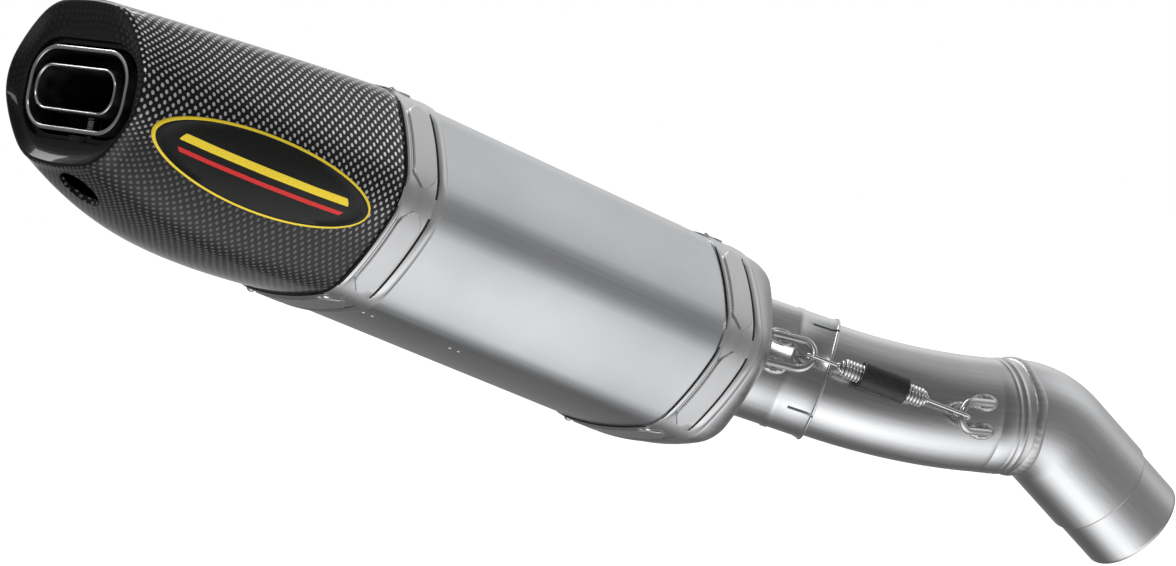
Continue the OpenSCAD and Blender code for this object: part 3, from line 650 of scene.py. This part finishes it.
def make_rivets():
    top = SLEEVE_H / 2 + FULLER
    build = Build()
    for x, side, hand, k in product((-HALF_BAND, HALF_BAND), (1, -1), (1, -1), range(2)):
        y = hand * side * (HALF_FLAT - 0.003 - k * 0.006)
        add_rivet(build, RIVET_D, -0.0003, x - BAND_W / 2 + 0.0032, y, side * (top + BAND_T))
    build.make("band_rivet_heads", [RIVET], "muffler", ["band_rivets"])
    build = Build()
    for pair, k in product(SEAM_PAIRS, (-0.0026, 0.0026)):
        add_rivet(build, SEAM_RIVET_D, -0.001, pair + k, -HALF_FLAT + 0.008, 0.0001 - top)
    build.make("seam_rivet_heads", [RIVET], "muffler", ["sleeve_rivets"])


# ---- Carbon end cap ----
def rim_ring(shrink, depth):
    """Ring in the plane of the outlet rim, in the muffler's own frame."""
    outline = hexagon(RIM_W - 2 * shrink, RIM_H - 2 * shrink, RIM_R - shrink)[0]
    return MUFFLER.inside(RIM(at_x(outline, depth)))


def angles(outline, w, h):
    """Direction of each point of an outline that is w by h, as if it were round."""
    return np.arctan2(outline[:, 1] / h, outline[:, 0] / w)


def hole_ring(grow, depth):
    """The rim's points moved onto the rounded rectangle round the outlet tube."""
    rect = rounded_rect(OUTLET_W + 2 * grow, OUTLET_H + 2 * grow, OUTLET_R + grow, 14, 10)
    rim = hexagon(RIM_W, RIM_H, RIM_R)[0]
    want, have = angles(rim, RIM_W, RIM_H), angles(rect, OUTLET_W, OUTLET_H)
    flat = [np.interp(want, have, rect[:, k], period=2 * pi) for k in (0, 1)]
    return MUFFLER.inside(OUTLET(at_x(np.stack(flat, 1), depth)))


def tuck_profile(t):
    """Distance along the sleeve and depth of the flange, t thick, that tucks a cap into the sleeve."""
    start, end = SLEEVE_END + 0.0005, HALF_BAND - 0.002
    return [(start, -TUCK - t), (end, -TUCK - t), (end, -TUCK), (start, -TUCK)]


def cap_ring(s, d):
    """Cross-section of the cap from the sleeve, s = 0, to the rim, s = 1, grown by d."""
    a, b = band_ring(-CAP_START, d), rim_ring(-d, RIM_ROUND)
    g = s ** mix(3, 1.15, a[:, 2] / SLEEVE_H + 0.5)
    x = mix(a[:, 0], b[:, 0], s)
    y, z = (mix(a[:, k], b[:, k], g) for k in (1, 2))
    return np.column_stack([x, y, z + BELLY * sin(pi * s) * np.minimum(0, a[:, 2] / SLEEVE_H * 2)])


def make_cap():
    """Shell with a rounded rim, a dish round the outlet tube, a tucked flange and a hole for the boss."""
    outside = [cap_ring(s, 0) for s in np.linspace(0, 1, 30)]
    edge = [rim_ring(RIM_ROUND * (1 - cos(a)), RIM_ROUND * (1 - sin(a)))
            for a in np.linspace(0, pi / 2, 7)[1:]]
    lip_in, ledge = rim_ring(RIM_ROUND, 0), hole_ring(*LEDGE)
    dish = [mix(lip_in, ledge, t) + np.array((DISH_SAG, 0, 0)) * sin(pi * t)
            for t in np.linspace(0, 1, 8)[1:]]
    floor = [hole_ring(grow, FACE_DEPTH + deeper)
             for grow, deeper in ((0.0036, -0.0022), (0.0032, 0), (0.0016, 0), (0.0016, CAP_T))]
    inside = [cap_ring(s, -CAP_T) for s in np.linspace(0.94, 0, 12)]
    tuck = [band_ring(-x, d) for x, d in tuck_profile(CAP_T)]
    rings = MUFFLER(outside + edge + dish + floor + inside + tuck)
    # From just inside the rim, the dish, its floor and the cap's inside take the weave dimmed as painted
    # shade.
    dish_start = len(outside) + len(edge) - 3
    build = Build().grid(rings, loop=True, slot=lambda i, j: 1 if i >= dish_start else 0)
    cap = build.make("carbon_end_cap", [CARBON, PAINTED_SHADE_DISH_CARBON], "muffler", ["end_cap"])
    cut_hole(cap, BOSS_R, -0.080, -0.0305, 64)


def cut(obj, build, sharp=38):
    """Takes a build's shape out of obj."""
    cutter = build.make("cutter", [])
    modifier = obj.modifiers.new("cut", "BOOLEAN")
    modifier.operation, modifier.solver, modifier.object = "DIFFERENCE", "EXACT", cutter
    graph = bpy.context.evaluated_depsgraph_get()
    mesh = bpy.data.meshes.new_from_object(obj.evaluated_get(graph))
    obj.modifiers.clear()
    obj.data = mesh
    bpy.data.objects.remove(cutter)
    smooth(mesh, sharp)


def cut_hole(obj, r, low, high, steps):
    """Takes a hole about the screw's axis, a little wider than r, out of obj."""
    cut(obj, Build().lathe(SCREW, [(r + 0.0003, low), (r + 0.0003, high)], steps))


# ---- Badge ----
def make_badge():
    """Oval plate laid on the cap's lower face on the near side, just under the corner."""
    stations = np.linspace(0, 1, 60)
    corner = 3 * (ARC + FACE) + ARC // 2
    picks = np.arange(corner - 2 * ARC, corner + 3 * ARC)

    def surface(d):
        return np.array([cap_ring(s, d)[picks] for s in stations])

    base = surface(0)
    girth = np.zeros(base.shape[:2])
    girth[:, 1:] = np.cumsum(np.linalg.norm(np.diff(base, axis=1), axis=2), axis=1)
    girth -= girth[:, 2 * ARC][:, None]

    def look_up(grid, s, down):
        """Surface points at s along the cap and this far down from the corner."""
        out = []
        for one, v in zip(s * (len(stations) - 1), down):
            i = int(min(max(one, 0), len(stations) - 2))
            ends = [[np.interp(v, girth[k], grid[k, :, axis]) for axis in range(3)] for k in (i, i + 1)]
            out.append(mix(np.array(ends[0]), np.array(ends[1]), one - i))
        return np.array(out)

    step_s, step_v = 0.01, 0.001
    middle = np.array([BADGE_MID]), np.array([BADGE_DOWN])
    centre = look_up(base, *middle)[0]
    along = look_up(base, middle[0] + step_s, middle[1])[0] - centre
    down = look_up(base, middle[0], middle[1] + step_v)[0] - centre
    level = flat_to((-1, 0, 0), unit(np.cross(along, down)))
    upright = flat_to(-down, level)
    length = level * cos(BADGE_TURN) + upright * sin(BADGE_TURN)
    axes = np.array([length, flat_to(upright, length)]).T
    turn = np.linspace(0, 2 * pi, 73)

    def place_on(size):
        """Finds s and the distance down for an oval of this size by stepping towards it."""
        want = heading(turn) * (BADGE_LEN / 2 * size, BADGE_WIDTH / 2 * size)
        s, v = np.full(len(turn), BADGE_MID), np.full(len(turn), BADGE_DOWN)
        for _ in range(8):
            here = look_up(base, s, v)
            by_s, by_v = look_up(base, s + step_s, v) - here, look_up(base, s, v + step_v) - here
            miss = want - (here - centre) @ axes
            go = np.linalg.solve(np.stack([by_s @ axes, by_v @ axes], 2), miss[..., None])[..., 0]
            s, v = np.clip(s + go[:, 0] * step_s, 0.01, 0.98), v + go[:, 1] * step_v
        return s, v

    top = BADGE_GAP + BADGE_T
    sizes = [(0.02, BADGE_GAP), (1, BADGE_GAP), (1, top - 0.0005), (0.988, top - 0.0001),
             (0.97, top), (0.93, top), (0.92, top - 0.0002), (0.8, top - 0.0002),
             (0.5, top - 0.0001), (0.02, top - 0.0001)]
    rings = [MUFFLER(look_up(surface(d), *place_on(size))) for size, d in sizes]
    build = Build().grid(rings, wrap=False, uv=[size * heading(turn) for size, _ in sizes])
    build.cap(rings[0][:-1])
    build.cap(rings[-1][:-1], True)
    build.make("oval_badge", [BADGE], "muffler", ["badge_plate"])


# ---- Inlet cap and tube ----
def tube_ring(r, behind):
    """Circle about the slip axis whose points match the hexagon's turns."""
    axis = MUFFLER.axes @ slip_dir
    ey = flat_to((0, 1, 0), axis)
    turn = angles(hexagon(SLEEVE_W, SLEEVE_H, CORNER_R)[0], SLEEVE_W, SLEEVE_H)
    middle = MUFFLER.inside(lip_pos) + axis * behind
    return middle + r * heading(turn) @ np.array([ey, np.cross(-axis, ey)])


def make_inlet_cap():
    """Cone from the sleeve's hexagon to the slip tube, with a flange tucked into the sleeve."""
    tuck = tuck_profile(CONE_T)

    def ring(s, d):
        a, b = band_ring(CAP_START, d), tube_ring(TUBE_RO + 0.0035 + d, ROOT_AT - d)
        return np.column_stack([mix(a[:, 0], b[:, 0], s), mix(a[:, 1:], b[:, 1:], s * s)])

    rings = [band_ring(*place) for place in tuck[2:]]
    rings += [ring(s, 0) for s in np.linspace(0, 1, 18)]
    rings += [tube_ring(TUBE_RO + gap, ROOT_AT + behind)
              for gap, behind in ((0.0020, -0.0015), (0.0003, -0.0015), (0.0003, CONE_T))]
    rings += [ring(s, -CONE_T) for s in np.linspace(1, 0, 8)]
    rings += [band_ring(*place) for place in tuck[:2]]
    build = Build().grid(MUFFLER(rings), loop=True)
    build.make("inlet_cone", [CAP_TITANIUM], "muffler", ["inlet_cap"])


def make_inlet_tube():
    """Slip-joint tube with a rolled lip, a raised ring and four slots."""
    place = Place(lip_pos, slip_dir, NEAR_SIDE)
    lip_r, ring_r = 0.0009, TUBE_RO + 0.0005
    lip = [(TUBE_RO + 0.0003 + lip_r * sin(a), lip_r - lip_r * cos(a))
           for a in np.linspace(0.2, pi - 0.3, 12)]
    profile = [(TUBE_RI, 0.0006), (TUBE_RI + 0.0008, 0), *lip, (TUBE_RO, 0.0046), (TUBE_RO, 0.018),
               (ring_r, 0.0192), (ring_r, 0.0215), (TUBE_RO, 0.0227), (TUBE_RO, TUBE_LEN),
               (TUBE_RI, TUBE_LEN)]
    build = Build().lathe(place, profile, 120, closed=True)
    tube = build.make("slotted_inlet_tube", [PIPE], "muffler", ["inlet_tube"], sharp=50)
    slots = Build()
    for turn in pi / 4 + np.arange(4) * pi / 2:
        slot = Place(place((0, 0, -0.001)), slip_dir, heading(turn) @ place.axes[:2])
        slots.box(slot, (0.0281, -SLOT_W / 2, 0), (0.040, SLOT_W / 2, SLOT_LEN))
    cut(tube, slots, 50)
    weld_place = place.shifted((0, 0, ROOT_AT - 0.0025))
    add_weld_ring("inlet_weld", weld_place, TUBE_RO, INLET_WELD, 3, "muffler")


def add_weld_ring(name, place, r, size, seed, body, replaces=(), wobble=0.0003, ripples=70):
    """Weld bead round a pipe: an uneven ridge, of this half width and height, with overlapping ripples."""
    rng = random.Random(seed)
    waves = [(rng.randint(2, 9), rng.uniform(0, 6.28), rng.uniform(0.3, 1)) for _ in range(6)]
    turn = full_turn(560)
    drift = sum(a * np.sin(f * turn + p) for f, p, a in waves) / 3
    half_w, height = size
    width = half_w * (1 + 0.16 * np.sin(5 * turn + 1) + 0.10 * drift)
    rings = []
    for t in np.linspace(-1, 1, 13):
        ripple = 0.03 * np.sin(ripples * (turn + 0.02 * drift) - 2.2 * t * t) if abs(t) < 0.99 else 0
        h = height * (1 - t * t) ** 0.6 * (1 + ripple + 0.18 * drift) - 0.0003
        rings.append(place(ring_at(r + h, turn, width * t + wobble * drift)))
    rings += [place(ring_at(r - 0.0005, turn, width * t * 0.9)) for t in (1, -1)]
    Build().grid(rings, loop=True).make(name, [WELD], body, replaces, sharp=60)


# ---- Outlet, insert and screw ----
INSERT_SIZE = INSERT_W, INSERT_H, INSERT_R


def shrunk(size, d):
    """Width, height and corner radius of a rounded rectangle drawn in by d."""
    return size[0] - 2 * d, size[1] - 2 * d, size[2] - d


def add_tube(build, size, t, x0, x1, edge):
    """A rounded-rectangle tube with walls t thick; its rounded front edge takes the first slot."""
    def ring(d, x):
        return OUTLET(at_x(rounded_rect(*shrunk(size, d)), x))
    front = [ring(t, x0 + edge), ring(t * 0.8, x0 + edge * 0.3), ring(t * 0.5, x0),
             ring(t * 0.2, x0 + edge * 0.2), ring(0, x0 + edge * 0.6)]
    rings = front + [ring(0, x) for x in np.linspace(x0 + edge + 0.002, x1, 5)]
    rings += [ring(t, x) for x in np.linspace(x1, x0 + edge + 0.001, 5)]
    build.grid(rings, loop=True, slot=lambda i, j: 0 if i < len(front) - 1 else 1)


def hole_in(outline, r):
    """Circle of radius r with a point towards each of the outline's."""
    return r * outline / np.linalg.norm(outline, axis=1)[:, None]


def make_outlet():
    build = Build()
    add_tube(build, (OUTLET_W, OUTLET_H, OUTLET_R), OUTLET_T, OUTLET_FRONT, OUTLET_BACK, 0.0008)
    tube = build.make("outlet_pipe", [STEEL, SOOT_AND_SHADE], "muffler", ["outlet_tube"])
    cut_hole(tube, SCREW_R, -0.030, -0.012, 32)


def make_insert():
    """Tube with an end plate, which has a round hole."""
    build = Build()
    back, sunk = INSERT_FRONT + INSERT_LEN, 0.0002
    add_tube(build, INSERT_SIZE, INSERT_T, INSERT_FRONT, back, 0.001)
    w, h, r = shrunk(INSERT_SIZE, INSERT_T)
    plate = rounded_rect(w + sunk, h + sunk, r + sunk)
    hole, near, far = hole_in(plate, END_HOLE_R), back - INSERT_T, back - sunk
    build.grid([OUTLET(at_x(o, x)) for o, x in ((plate, near), (hole, near), (hole, far), (plate, far))],
               loop=True, slot=1)
    build.make("noise_insert_tube", [STEEL, SOOT_AND_SHADE], "insert", ["noise_insert"])


def make_centring_ring():
    """Ring round the insert, with a gap that the screw passes through."""
    outer = rounded_rect(*shrunk((OUTLET_W, OUTLET_H, OUTLET_R), OUTLET_T + RING_CLEAR))
    inner = rounded_rect(*INSERT_SIZE)
    end, half_gap = RING_X + RING_LEN, 0.005
    rings = [OUTLET(at_x(o, x)) for o, x in ((outer, RING_X + 0.0006), (outer, end), (inner, end),
                                             (inner, RING_X), (outer * 0.985, RING_X))]
    build = Build().grid(rings, loop=True)
    ring = build.make("insert_centring_ring", [SOOT_AND_SHADE], "insert", ["insert_locating_ring"])
    cut(ring, Build().box(OUTLET, (RING_X - 0.001, SCREW_Y - half_gap, -OUTLET_H),
                          (end + 0.001, SCREW_Y + half_gap, -INSERT_H / 2 - 0.0001)))


# Heights along the screw's axis: the seat in the boss, the top of the screw's head, and its tip.
SEAT = BOSS_LOW + SEAT_DEPTH
HEAD_TOP = SEAT - WASHER_T - 2 * SEAT_GAP
TIP = -INSERT_H / 2 - 0.00015


def add_thread(build, turn):
    """The screw's shank with its thread, which fades out at both ends."""
    length = TIP - HEAD_TOP
    rings = []
    for z in np.linspace(0, length, int(length / SCREW_PITCH * 10)):
        phase = (z / SCREW_PITCH - turn / (2 * pi)) % 1
        fade = min(1, z / 0.001, (length - z) / 0.0008)
        point = 0.0006 * max(0.0, 1 - (length - z) / 0.0008)
        r = SCREW_R - 0.00004 - 0.0005 * fade * np.abs(2 * phase - 1) - point
        rings.append(SCREW(ring_at(r, turn, HEAD_TOP + z)))
    build.solid(rings)


def make_screw():
    """Socket-head screw."""
    build, turn = Build(), full_turn(32)
    add_thread(build, turn)
    low, bevel = HEAD_TOP - HEAD_H, 0.0005
    key = 0.0023 * cos(pi / 6) / np.cos((turn % (pi / 3)) - pi / 6)
    head = [(SCREW_R * 0.8, HEAD_TOP), (HEAD_R - 0.0002, HEAD_TOP), (HEAD_R, HEAD_TOP - 0.0002),
            (HEAD_R, low + bevel), (HEAD_R - bevel * 0.3, low + bevel * 0.3), (HEAD_R - bevel, low),
            (key + 0.0002, low), (key, low + 0.0002), (key, low + 0.002), (0.0002, low + 0.0023)]
    build.solid([SCREW(ring_at(r, turn, z)) for r, z in head])
    build.make("socket_head_screw", [RIVET], "screw", ["insert_screw"], sharp=32)


def make_washer():
    bore, low, high = SCREW_R + 0.0001, HEAD_TOP + SEAT_GAP, SEAT - SEAT_GAP
    profile = [(bore, low), (WASHER_R - 0.0002, low), (WASHER_R, HEAD_TOP + 0.0002),
               (WASHER_R, SEAT - 0.0003), (WASHER_R - 0.0001, high), (bore, high)]
    Build().lathe(SCREW, profile, 48, closed=True).make("plain_washer", [STEEL], "washer", ["screw_washer"])


def make_boss():
    # The boss takes the dark material as painted shade in the recess under the cap.
    bore, recess, top = SCREW_R + 0.00005, BOSS_R - 0.0012, -OUTLET_H / 2 - 0.00105
    profile = [(bore, top), (BOSS_R, top), (BOSS_R, BOSS_LOW + 0.0004), (BOSS_R - 0.0004, BOSS_LOW),
               (BOSS_R - 0.0010, BOSS_LOW), (recess, BOSS_LOW + 0.0003), (recess, SEAT), (bore, SEAT)]
    Build().lathe(SCREW, profile, 64, closed=True).make("screw_boss_cup", [SOOT_AND_SHADE], "muffler", ["screw_boss"])


# ---- Link pipe ----
def add_pipe(name, node, path, ridge=0.0):
    rings = swept(path, PIPE_R + ridge, PIPE_SIDES) + swept(path, PIPE_RI, PIPE_SIDES)[::-1]
    Build().grid(rings, loop=True).make(name, [PIPE], "link", [node], sharp=50)


def make_link():
    """Link pipe with two low rolled ridges behind its weld, and the elbow in front of it."""
    bend = arc_path(ROUTE[2], mid_dir, slip_dir, BEND_R, 40)
    elbow = arc_path(ROUTE[1], socket_dir, mid_dir, ELBOW_R, 40)
    weld_pos = elbow[-1]
    ridges = weld_pos + mid_dir * np.linspace(0, RIDGES_END, 40)[:, None]
    rest = np.vstack([np.linspace(weld_pos, bend[0], 14)[:-1], bend,
                      np.linspace(bend[-1], lip_pos + slip_dir * SLIP_LEN, 30)[1:]])
    path = np.vstack([ridges, rest[(rest - weld_pos) @ mid_dir > RIDGES_END + 0.0005]])
    along = distances(path)
    add_pipe("link_pipe", "link_bend", path,
             sum(height * np.exp(-((along - at) / width) ** 2) for at, width, height in RIDGES))
    start = np.linspace(socket_dir * SOCKET_LEN, elbow[0], 8)[:-1]
    add_pipe("elbow_pipe", "link_elbow", np.vstack([start, elbow]))
    add_weld_ring("elbow_weld", Place(weld_pos, mid_dir, NEAR_SIDE), PIPE_R, ELBOW_WELD, 5, "link",
                  ["weld_bead"], wobble=0.0007, ripples=47)


def make_socket():
    place = Place((0, 0, 0), socket_dir, NEAR_SIDE)
    weld_place = place.shifted((0, 0, SOCKET_LEN - 0.0006))
    add_weld_ring("socket_seam_weld", weld_place, PIPE_RI + 0.0003, SOCKET_WELD, 8, "link", ["socket_weld"],
                  wobble=0.0001, ripples=120)
    outer, end = PIPE_RI - 0.00005, SOCKET_LEN + SOCKET_PUSH
    profile = [(SOCKET_R, 0.0004), (SOCKET_R + 0.0003, 0.0001), (outer - 0.0003, 0.0), (outer, 0.0004)]
    profile += [(outer, z) for z in np.linspace(0.002, end, 12)]
    profile += [(SOCKET_R, z) for z in np.linspace(end, 0.002, 6)]
    build = Build().lathe(place, profile, PIPE_SIDES, closed=True)
    build.make("header_socket_pipe", [PIPE], "link", ["header_socket"], sharp=50)


# ---- Hooks, springs and dampers ----
def link_hook_place(hand):
    turn = LINK_TURNS[hand]
    bend_start = arc_path(ROUTE[2], mid_dir, slip_dir, BEND_R, 2)[0]
    inward = flat_to(slip_dir, mid_dir)
    at = bend_start + BEND_R * (inward * (1 - cos(turn)) + mid_dir * sin(turn))
    return Place(at, mid_dir * cos(turn) + inward * sin(turn), hand * LINK_SIDE)


def muffler_hook_place(hand):
    return Place(lip_pos + slip_dir * MUFFLER_HOOK_AT, -slip_dir, hand * MUFFLER_SIDE)


def hook_leg_x(r):
    return sqrt((r + HOOK_R) ** 2 - (HOOK_SPAN / 2) ** 2)


def hook_tip(place, r):
    reach = HOOK_LEN + HOOK_SPAN / 2
    return place((hook_leg_x(r) + reach * sin(HOOK_TILT), 0, reach * cos(HOOK_TILT)))


def add_hook(build, place, r):
    """U of bent wire welded by its legs to a pipe of radius r, with weld mounds round the legs."""
    half = HOOK_SPAN / 2
    leg = np.linspace(0, HOOK_LEN, 9)
    flat = [(-half, z) for z in leg]
    flat += [(-half * cos(a), HOOK_LEN + half * sin(a)) for a in np.linspace(0, pi, 21)[1:-1]]
    flat += [(half, z) for z in leg[::-1]]
    path = place([(hook_leg_x(r) + z * sin(HOOK_TILT), y, z * cos(HOOK_TILT)) for y, z in flat])
    rings = swept(path, HOOK_R, 16, place.axes[0])
    build.grid(rings)
    for ring, step, flip in ((rings[0], path[0] - path[1], False), (rings[-1], path[-1] - path[-2], True)):
        middle, out = ring.mean(0), unit(step) * HOOK_R
        dome = [middle + (ring - middle) * cos(a) + out * sin(a) for a in np.linspace(0, 1.45, 5)]
        build.grid(dome)
        build.cap(dome[-1], flip)
    for side in (-1, 1):
        add_mound(build, place, r, side * half)


def add_mound(build, place, r, y):
    """Low rippled weld mound on a pipe of radius r, round a leg at y."""
    turn = full_turn(64)
    rings = []
    for s in np.linspace(1, 0.05, 12):
        h = MOUND_RIDGE * sin(pi * min(1, (1 - s) * 1.25 + 0.02)) ** 0.7 + MOUND_RISE * (1 - s)
        h = h * (1 + 0.08 * np.sin(9 * turn)) - 0.0005 * (s > 0.97)
        around = (y + MOUND_W * s * np.cos(turn)) / r
        rings.append(place(ring_at(r + h, around, MOUND_AT + MOUND_LEN * s * np.sin(turn))))
    build.solid(rings, 1)


def make_hooks():
    for name, place_of, r, body in (("muffler_spring_hooks", muffler_hook_place, TUBE_RO, "muffler"),
                                    ("link_spring_hooks", link_hook_place, PIPE_R, "link")):
        build = Build()
        for hand in (1, -1):
            add_hook(build, place_of(hand), r)
        build.make(name.replace("spring", "wire"), [STEEL, WELD], body, [name], sharp=60)


def spring_path(total, low):
    """Loop, wire, coils that taper at both ends, wire and loop, along z from 0 to total."""
    coil_len = COILS * 2 * WIRE_R
    loop = [(LOOP_R * cos(a), 0, LOOP_R * sin(a)) for a in np.linspace(0, LOOP_TURN, 30)]
    path = [(x, y, -z) for x, y, z in loop[::-1]]
    path += [(LOOP_R, 0, z) for z in np.linspace(0.0005, low - 0.0015, 8)]
    for t in np.linspace(0, COILS, COILS * 26):
        reach = (COIL_R - WIRE_R) * ease(min(t, COILS - t) / TAPER_TURNS)
        x, y = LOOP_R + reach * cos(2 * pi * t), reach * sin(2 * pi * t)
        path.append((x, y, low + t * 2 * WIRE_R))
    path += [(LOOP_R, 0, z) for z in np.linspace(low + coil_len + 0.0015, total - 0.0005, 8)]
    return path + [(x, y, total + z) for x, y, z in loop]


def damper_profile():
    """Sleeve with rounded outer edges."""
    edge, bore, chamfer = 0.0008, COIL_R + 0.0001, 0.0003
    outer = [(DAMPER_R - edge * (1 - sin(a)), edge * (1 - cos(a))) for a in np.linspace(0, pi / 2, 6)]
    profile = [(bore, chamfer)] + outer
    profile += [(DAMPER_R, z) for z in np.linspace(edge, DAMPER_LEN - edge, 14)[1:-1]]
    profile += [(r, DAMPER_LEN - z) for r, z in outer[::-1]]
    return profile + [(bore, z) for z in np.linspace(DAMPER_LEN - chamfer, chamfer, 14)[:-1]]


def make_springs():
    """Springs from hook to hook, each with its rubber sleeve."""
    for hand, label in ((1, "near"), (-1, "far")):
        start = hook_tip(muffler_hook_place(hand), TUBE_RO)
        end = hook_tip(link_hook_place(hand), PIPE_R)
        place = Place(start, end - start, hand * NEAR_SIDE)
        total = np.linalg.norm(end - start)
        middle = total / 2 - COIL_SHIFT
        path = place(spring_path(total, middle - COILS * WIRE_R))
        build = Build().solid(swept(path, WIRE_R * 0.96, 10, place.axes[0]))
        spring = build.make(f"coil_spring_{label}", [SPRING], replaces=[f"spring_{label}"], sharp=60)
        damper_place = place.shifted((LOOP_R, 0, middle - DAMPER_LEN / 2))
        build = Build().lathe(damper_place, damper_profile(), 56, closed=True)
        damper = build.make(f"rubber_sleeve_{label}", [RUBBER], replaces=[f"damper_{label}"], sharp=50)
        for piece in (spring, damper):
            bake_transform(piece)


# ---- Inner parts ----
def make_fillings():
    """The two plates and the packing, which fill the sleeve round the core."""
    half, outer = PLATE_T / 2, sleeve_ring(-SLEEVE_T - 0.0001)[0]
    for name, node, mat, x0, x1, r in (
            ("end_plate", "outlet_end_plate", INNER_STEEL, -PLATE_X - half, half - PLATE_X, CORE_R),
            ("front_baffle", "inlet_baffle", INNER_STEEL, PLATE_X - half, PLATE_X + half, CORE_R),
            ("fibre_packing", "glass_packing", PACKING, half - PLATE_X, PLATE_X - half, WRAP_R)):
        hole = hole_in(outer, r)
        rings = [MUFFLER(at_x(o, x)) for o, x in ((outer, x0), (outer, x1), (hole, x1), (hole, x0))]
        Build().grid(rings, loop=True).make(name, [mat], "muffler", [node])


INNER = {"outlet_cone": SOOT_AND_SHADE, "core_tube": INNER_STEEL, "steel_wool_wrap": WOOL}


def dress_inner_parts():
    """Materials for the frame's own solids that stay."""
    for node, mat in INNER.items():
        mesh = frame["nodes"][node].data
        mesh.materials.clear()
        mesh.materials.append(mat)


# ---- Studio ----
CAMERA_AT = Vector((-1.3206, -1.2501, 0.2446))
VIEW_DIR = Vector((0.606, 0.793, -0.0645))
LENS = 103.4


def make_camera():
    data = bpy.data.cameras.new("camera")
    data.lens, data.sensor_width = LENS, 36.0
    camera = bpy.data.objects.new("camera", data)
    camera.location = CAMERA_AT
    camera.rotation_euler = VIEW_DIR.to_track_quat("-Z", "Y").to_euler()
    bpy.context.scene.collection.objects.link(camera)
    bpy.context.scene.camera = camera


def area_light(name, place, target, size, power):
    data = bpy.data.lights.new(name, "AREA")
    data.shape, data.size, data.size_y = "RECTANGLE", size[0], size[1]
    data.energy = power
    light = bpy.data.objects.new(name, data)
    light.location = place
    light.rotation_euler = (Vector(target) - Vector(place)).to_track_quat("-Z", "Y").to_euler()
    bpy.context.scene.collection.objects.link(light)


# Soft reflected lights: direction they come from, how narrow they are, and their strength.
GLOWS = [((0.30, -0.43, -0.85), 7, 1.05),    # floor in front of the near side
         ((-0.42, -0.22, -0.88), 8, 1.40),   # floor below the outlet
         ((0.84, -0.15, 0.52), 8, 0.76),     # sky to the front
         ((0.61, -0.79, -0.06), 12, 0.14),   # dim room on the near side
         ((0.74, 0.52, 0.43), 16, 0.50),     # window beyond the front
         ((0.50, 0.84, 0.20), 8, 0.42),      # wall behind
         ((-0.45, 0.20, 0.87), 5, 0.30)]     # sky over the outlet
ROOM_TONE = 0.15
FLOOR_DROP, FLOOR_HALF = 0.30, 8.0


def make_world():
    """White to the camera; in reflections, a dim room with a few soft lights."""
    world = bpy.data.worlds.new("studio")
    bpy.context.scene.world = world
    world.use_nodes = True
    n = Nodes(world.node_tree, "Background")
    direction = n.add("TexCoord").outputs["Generated"]
    tone = ROOM_TONE
    for way, power, strength in GLOWS:
        facing = n.add("VectorMath", {0: direction, 1: unit(way)}, operation="DOT_PRODUCT").outputs["Value"]
        glow = n.math("POWER", n.math("MAXIMUM", facing, 0.0), power)
        tone = n.plus(n.mul(glow, strength), tone)
    seen = n.add("LightPath").outputs["Is Camera Ray"]
    n.feed("Color", n.mix(seen, tone, 1.0, "FLOAT"))


def make_floor():
    """Plain white floor, left out of reflections so that the world lights the metal."""
    low = cad_box[0][2] - FLOOR_DROP
    ends = (-FLOOR_HALF, FLOOR_HALF)
    build = Build().grid([[(x, y, low) for y in ends] for x in ends], wrap=False)
    mat, n = new_material("studio_floor", (0.8, 0.8, 0.8), 0.0, 0.9, Emission_Strength=0.9)
    speckle = n.noise("Object", (3, 3, 3), 2)
    n.feed("Emission Color", n.shade(speckle, (0.98, 0.98, 0.98), (1, 1, 1)))
    floor = build.make("studio_floor", [mat])
    floor.visible_glossy = False


def make_studio():
    bpy.context.scene.view_settings.view_transform = "Standard"
    make_world()
    make_floor()
    middle = MUFFLER.origin
    area_light("key", middle + np.array((-0.9, -1.3, 1.3)), middle, (0.5, 0.3), 3)
    area_light("top", middle + np.array((0.1, 0.9, 1.3)), middle, (1.6, 0.4), 9)


# ---- Make everything ----
make_camera()
make_sleeve()
make_band("outlet_strap", "outlet_band", -HALF_BAND)
make_band("inlet_strap", "inlet_band", HALF_BAND)
make_rivets()
make_cap()
make_badge()
make_inlet_cap()
make_inlet_tube()
make_outlet()
make_insert()
make_centring_ring()
make_screw()
make_washer()
make_boss()
make_link()
make_socket()
make_hooks()
make_springs()
make_fillings()
dress_inner_parts()
make_studio()
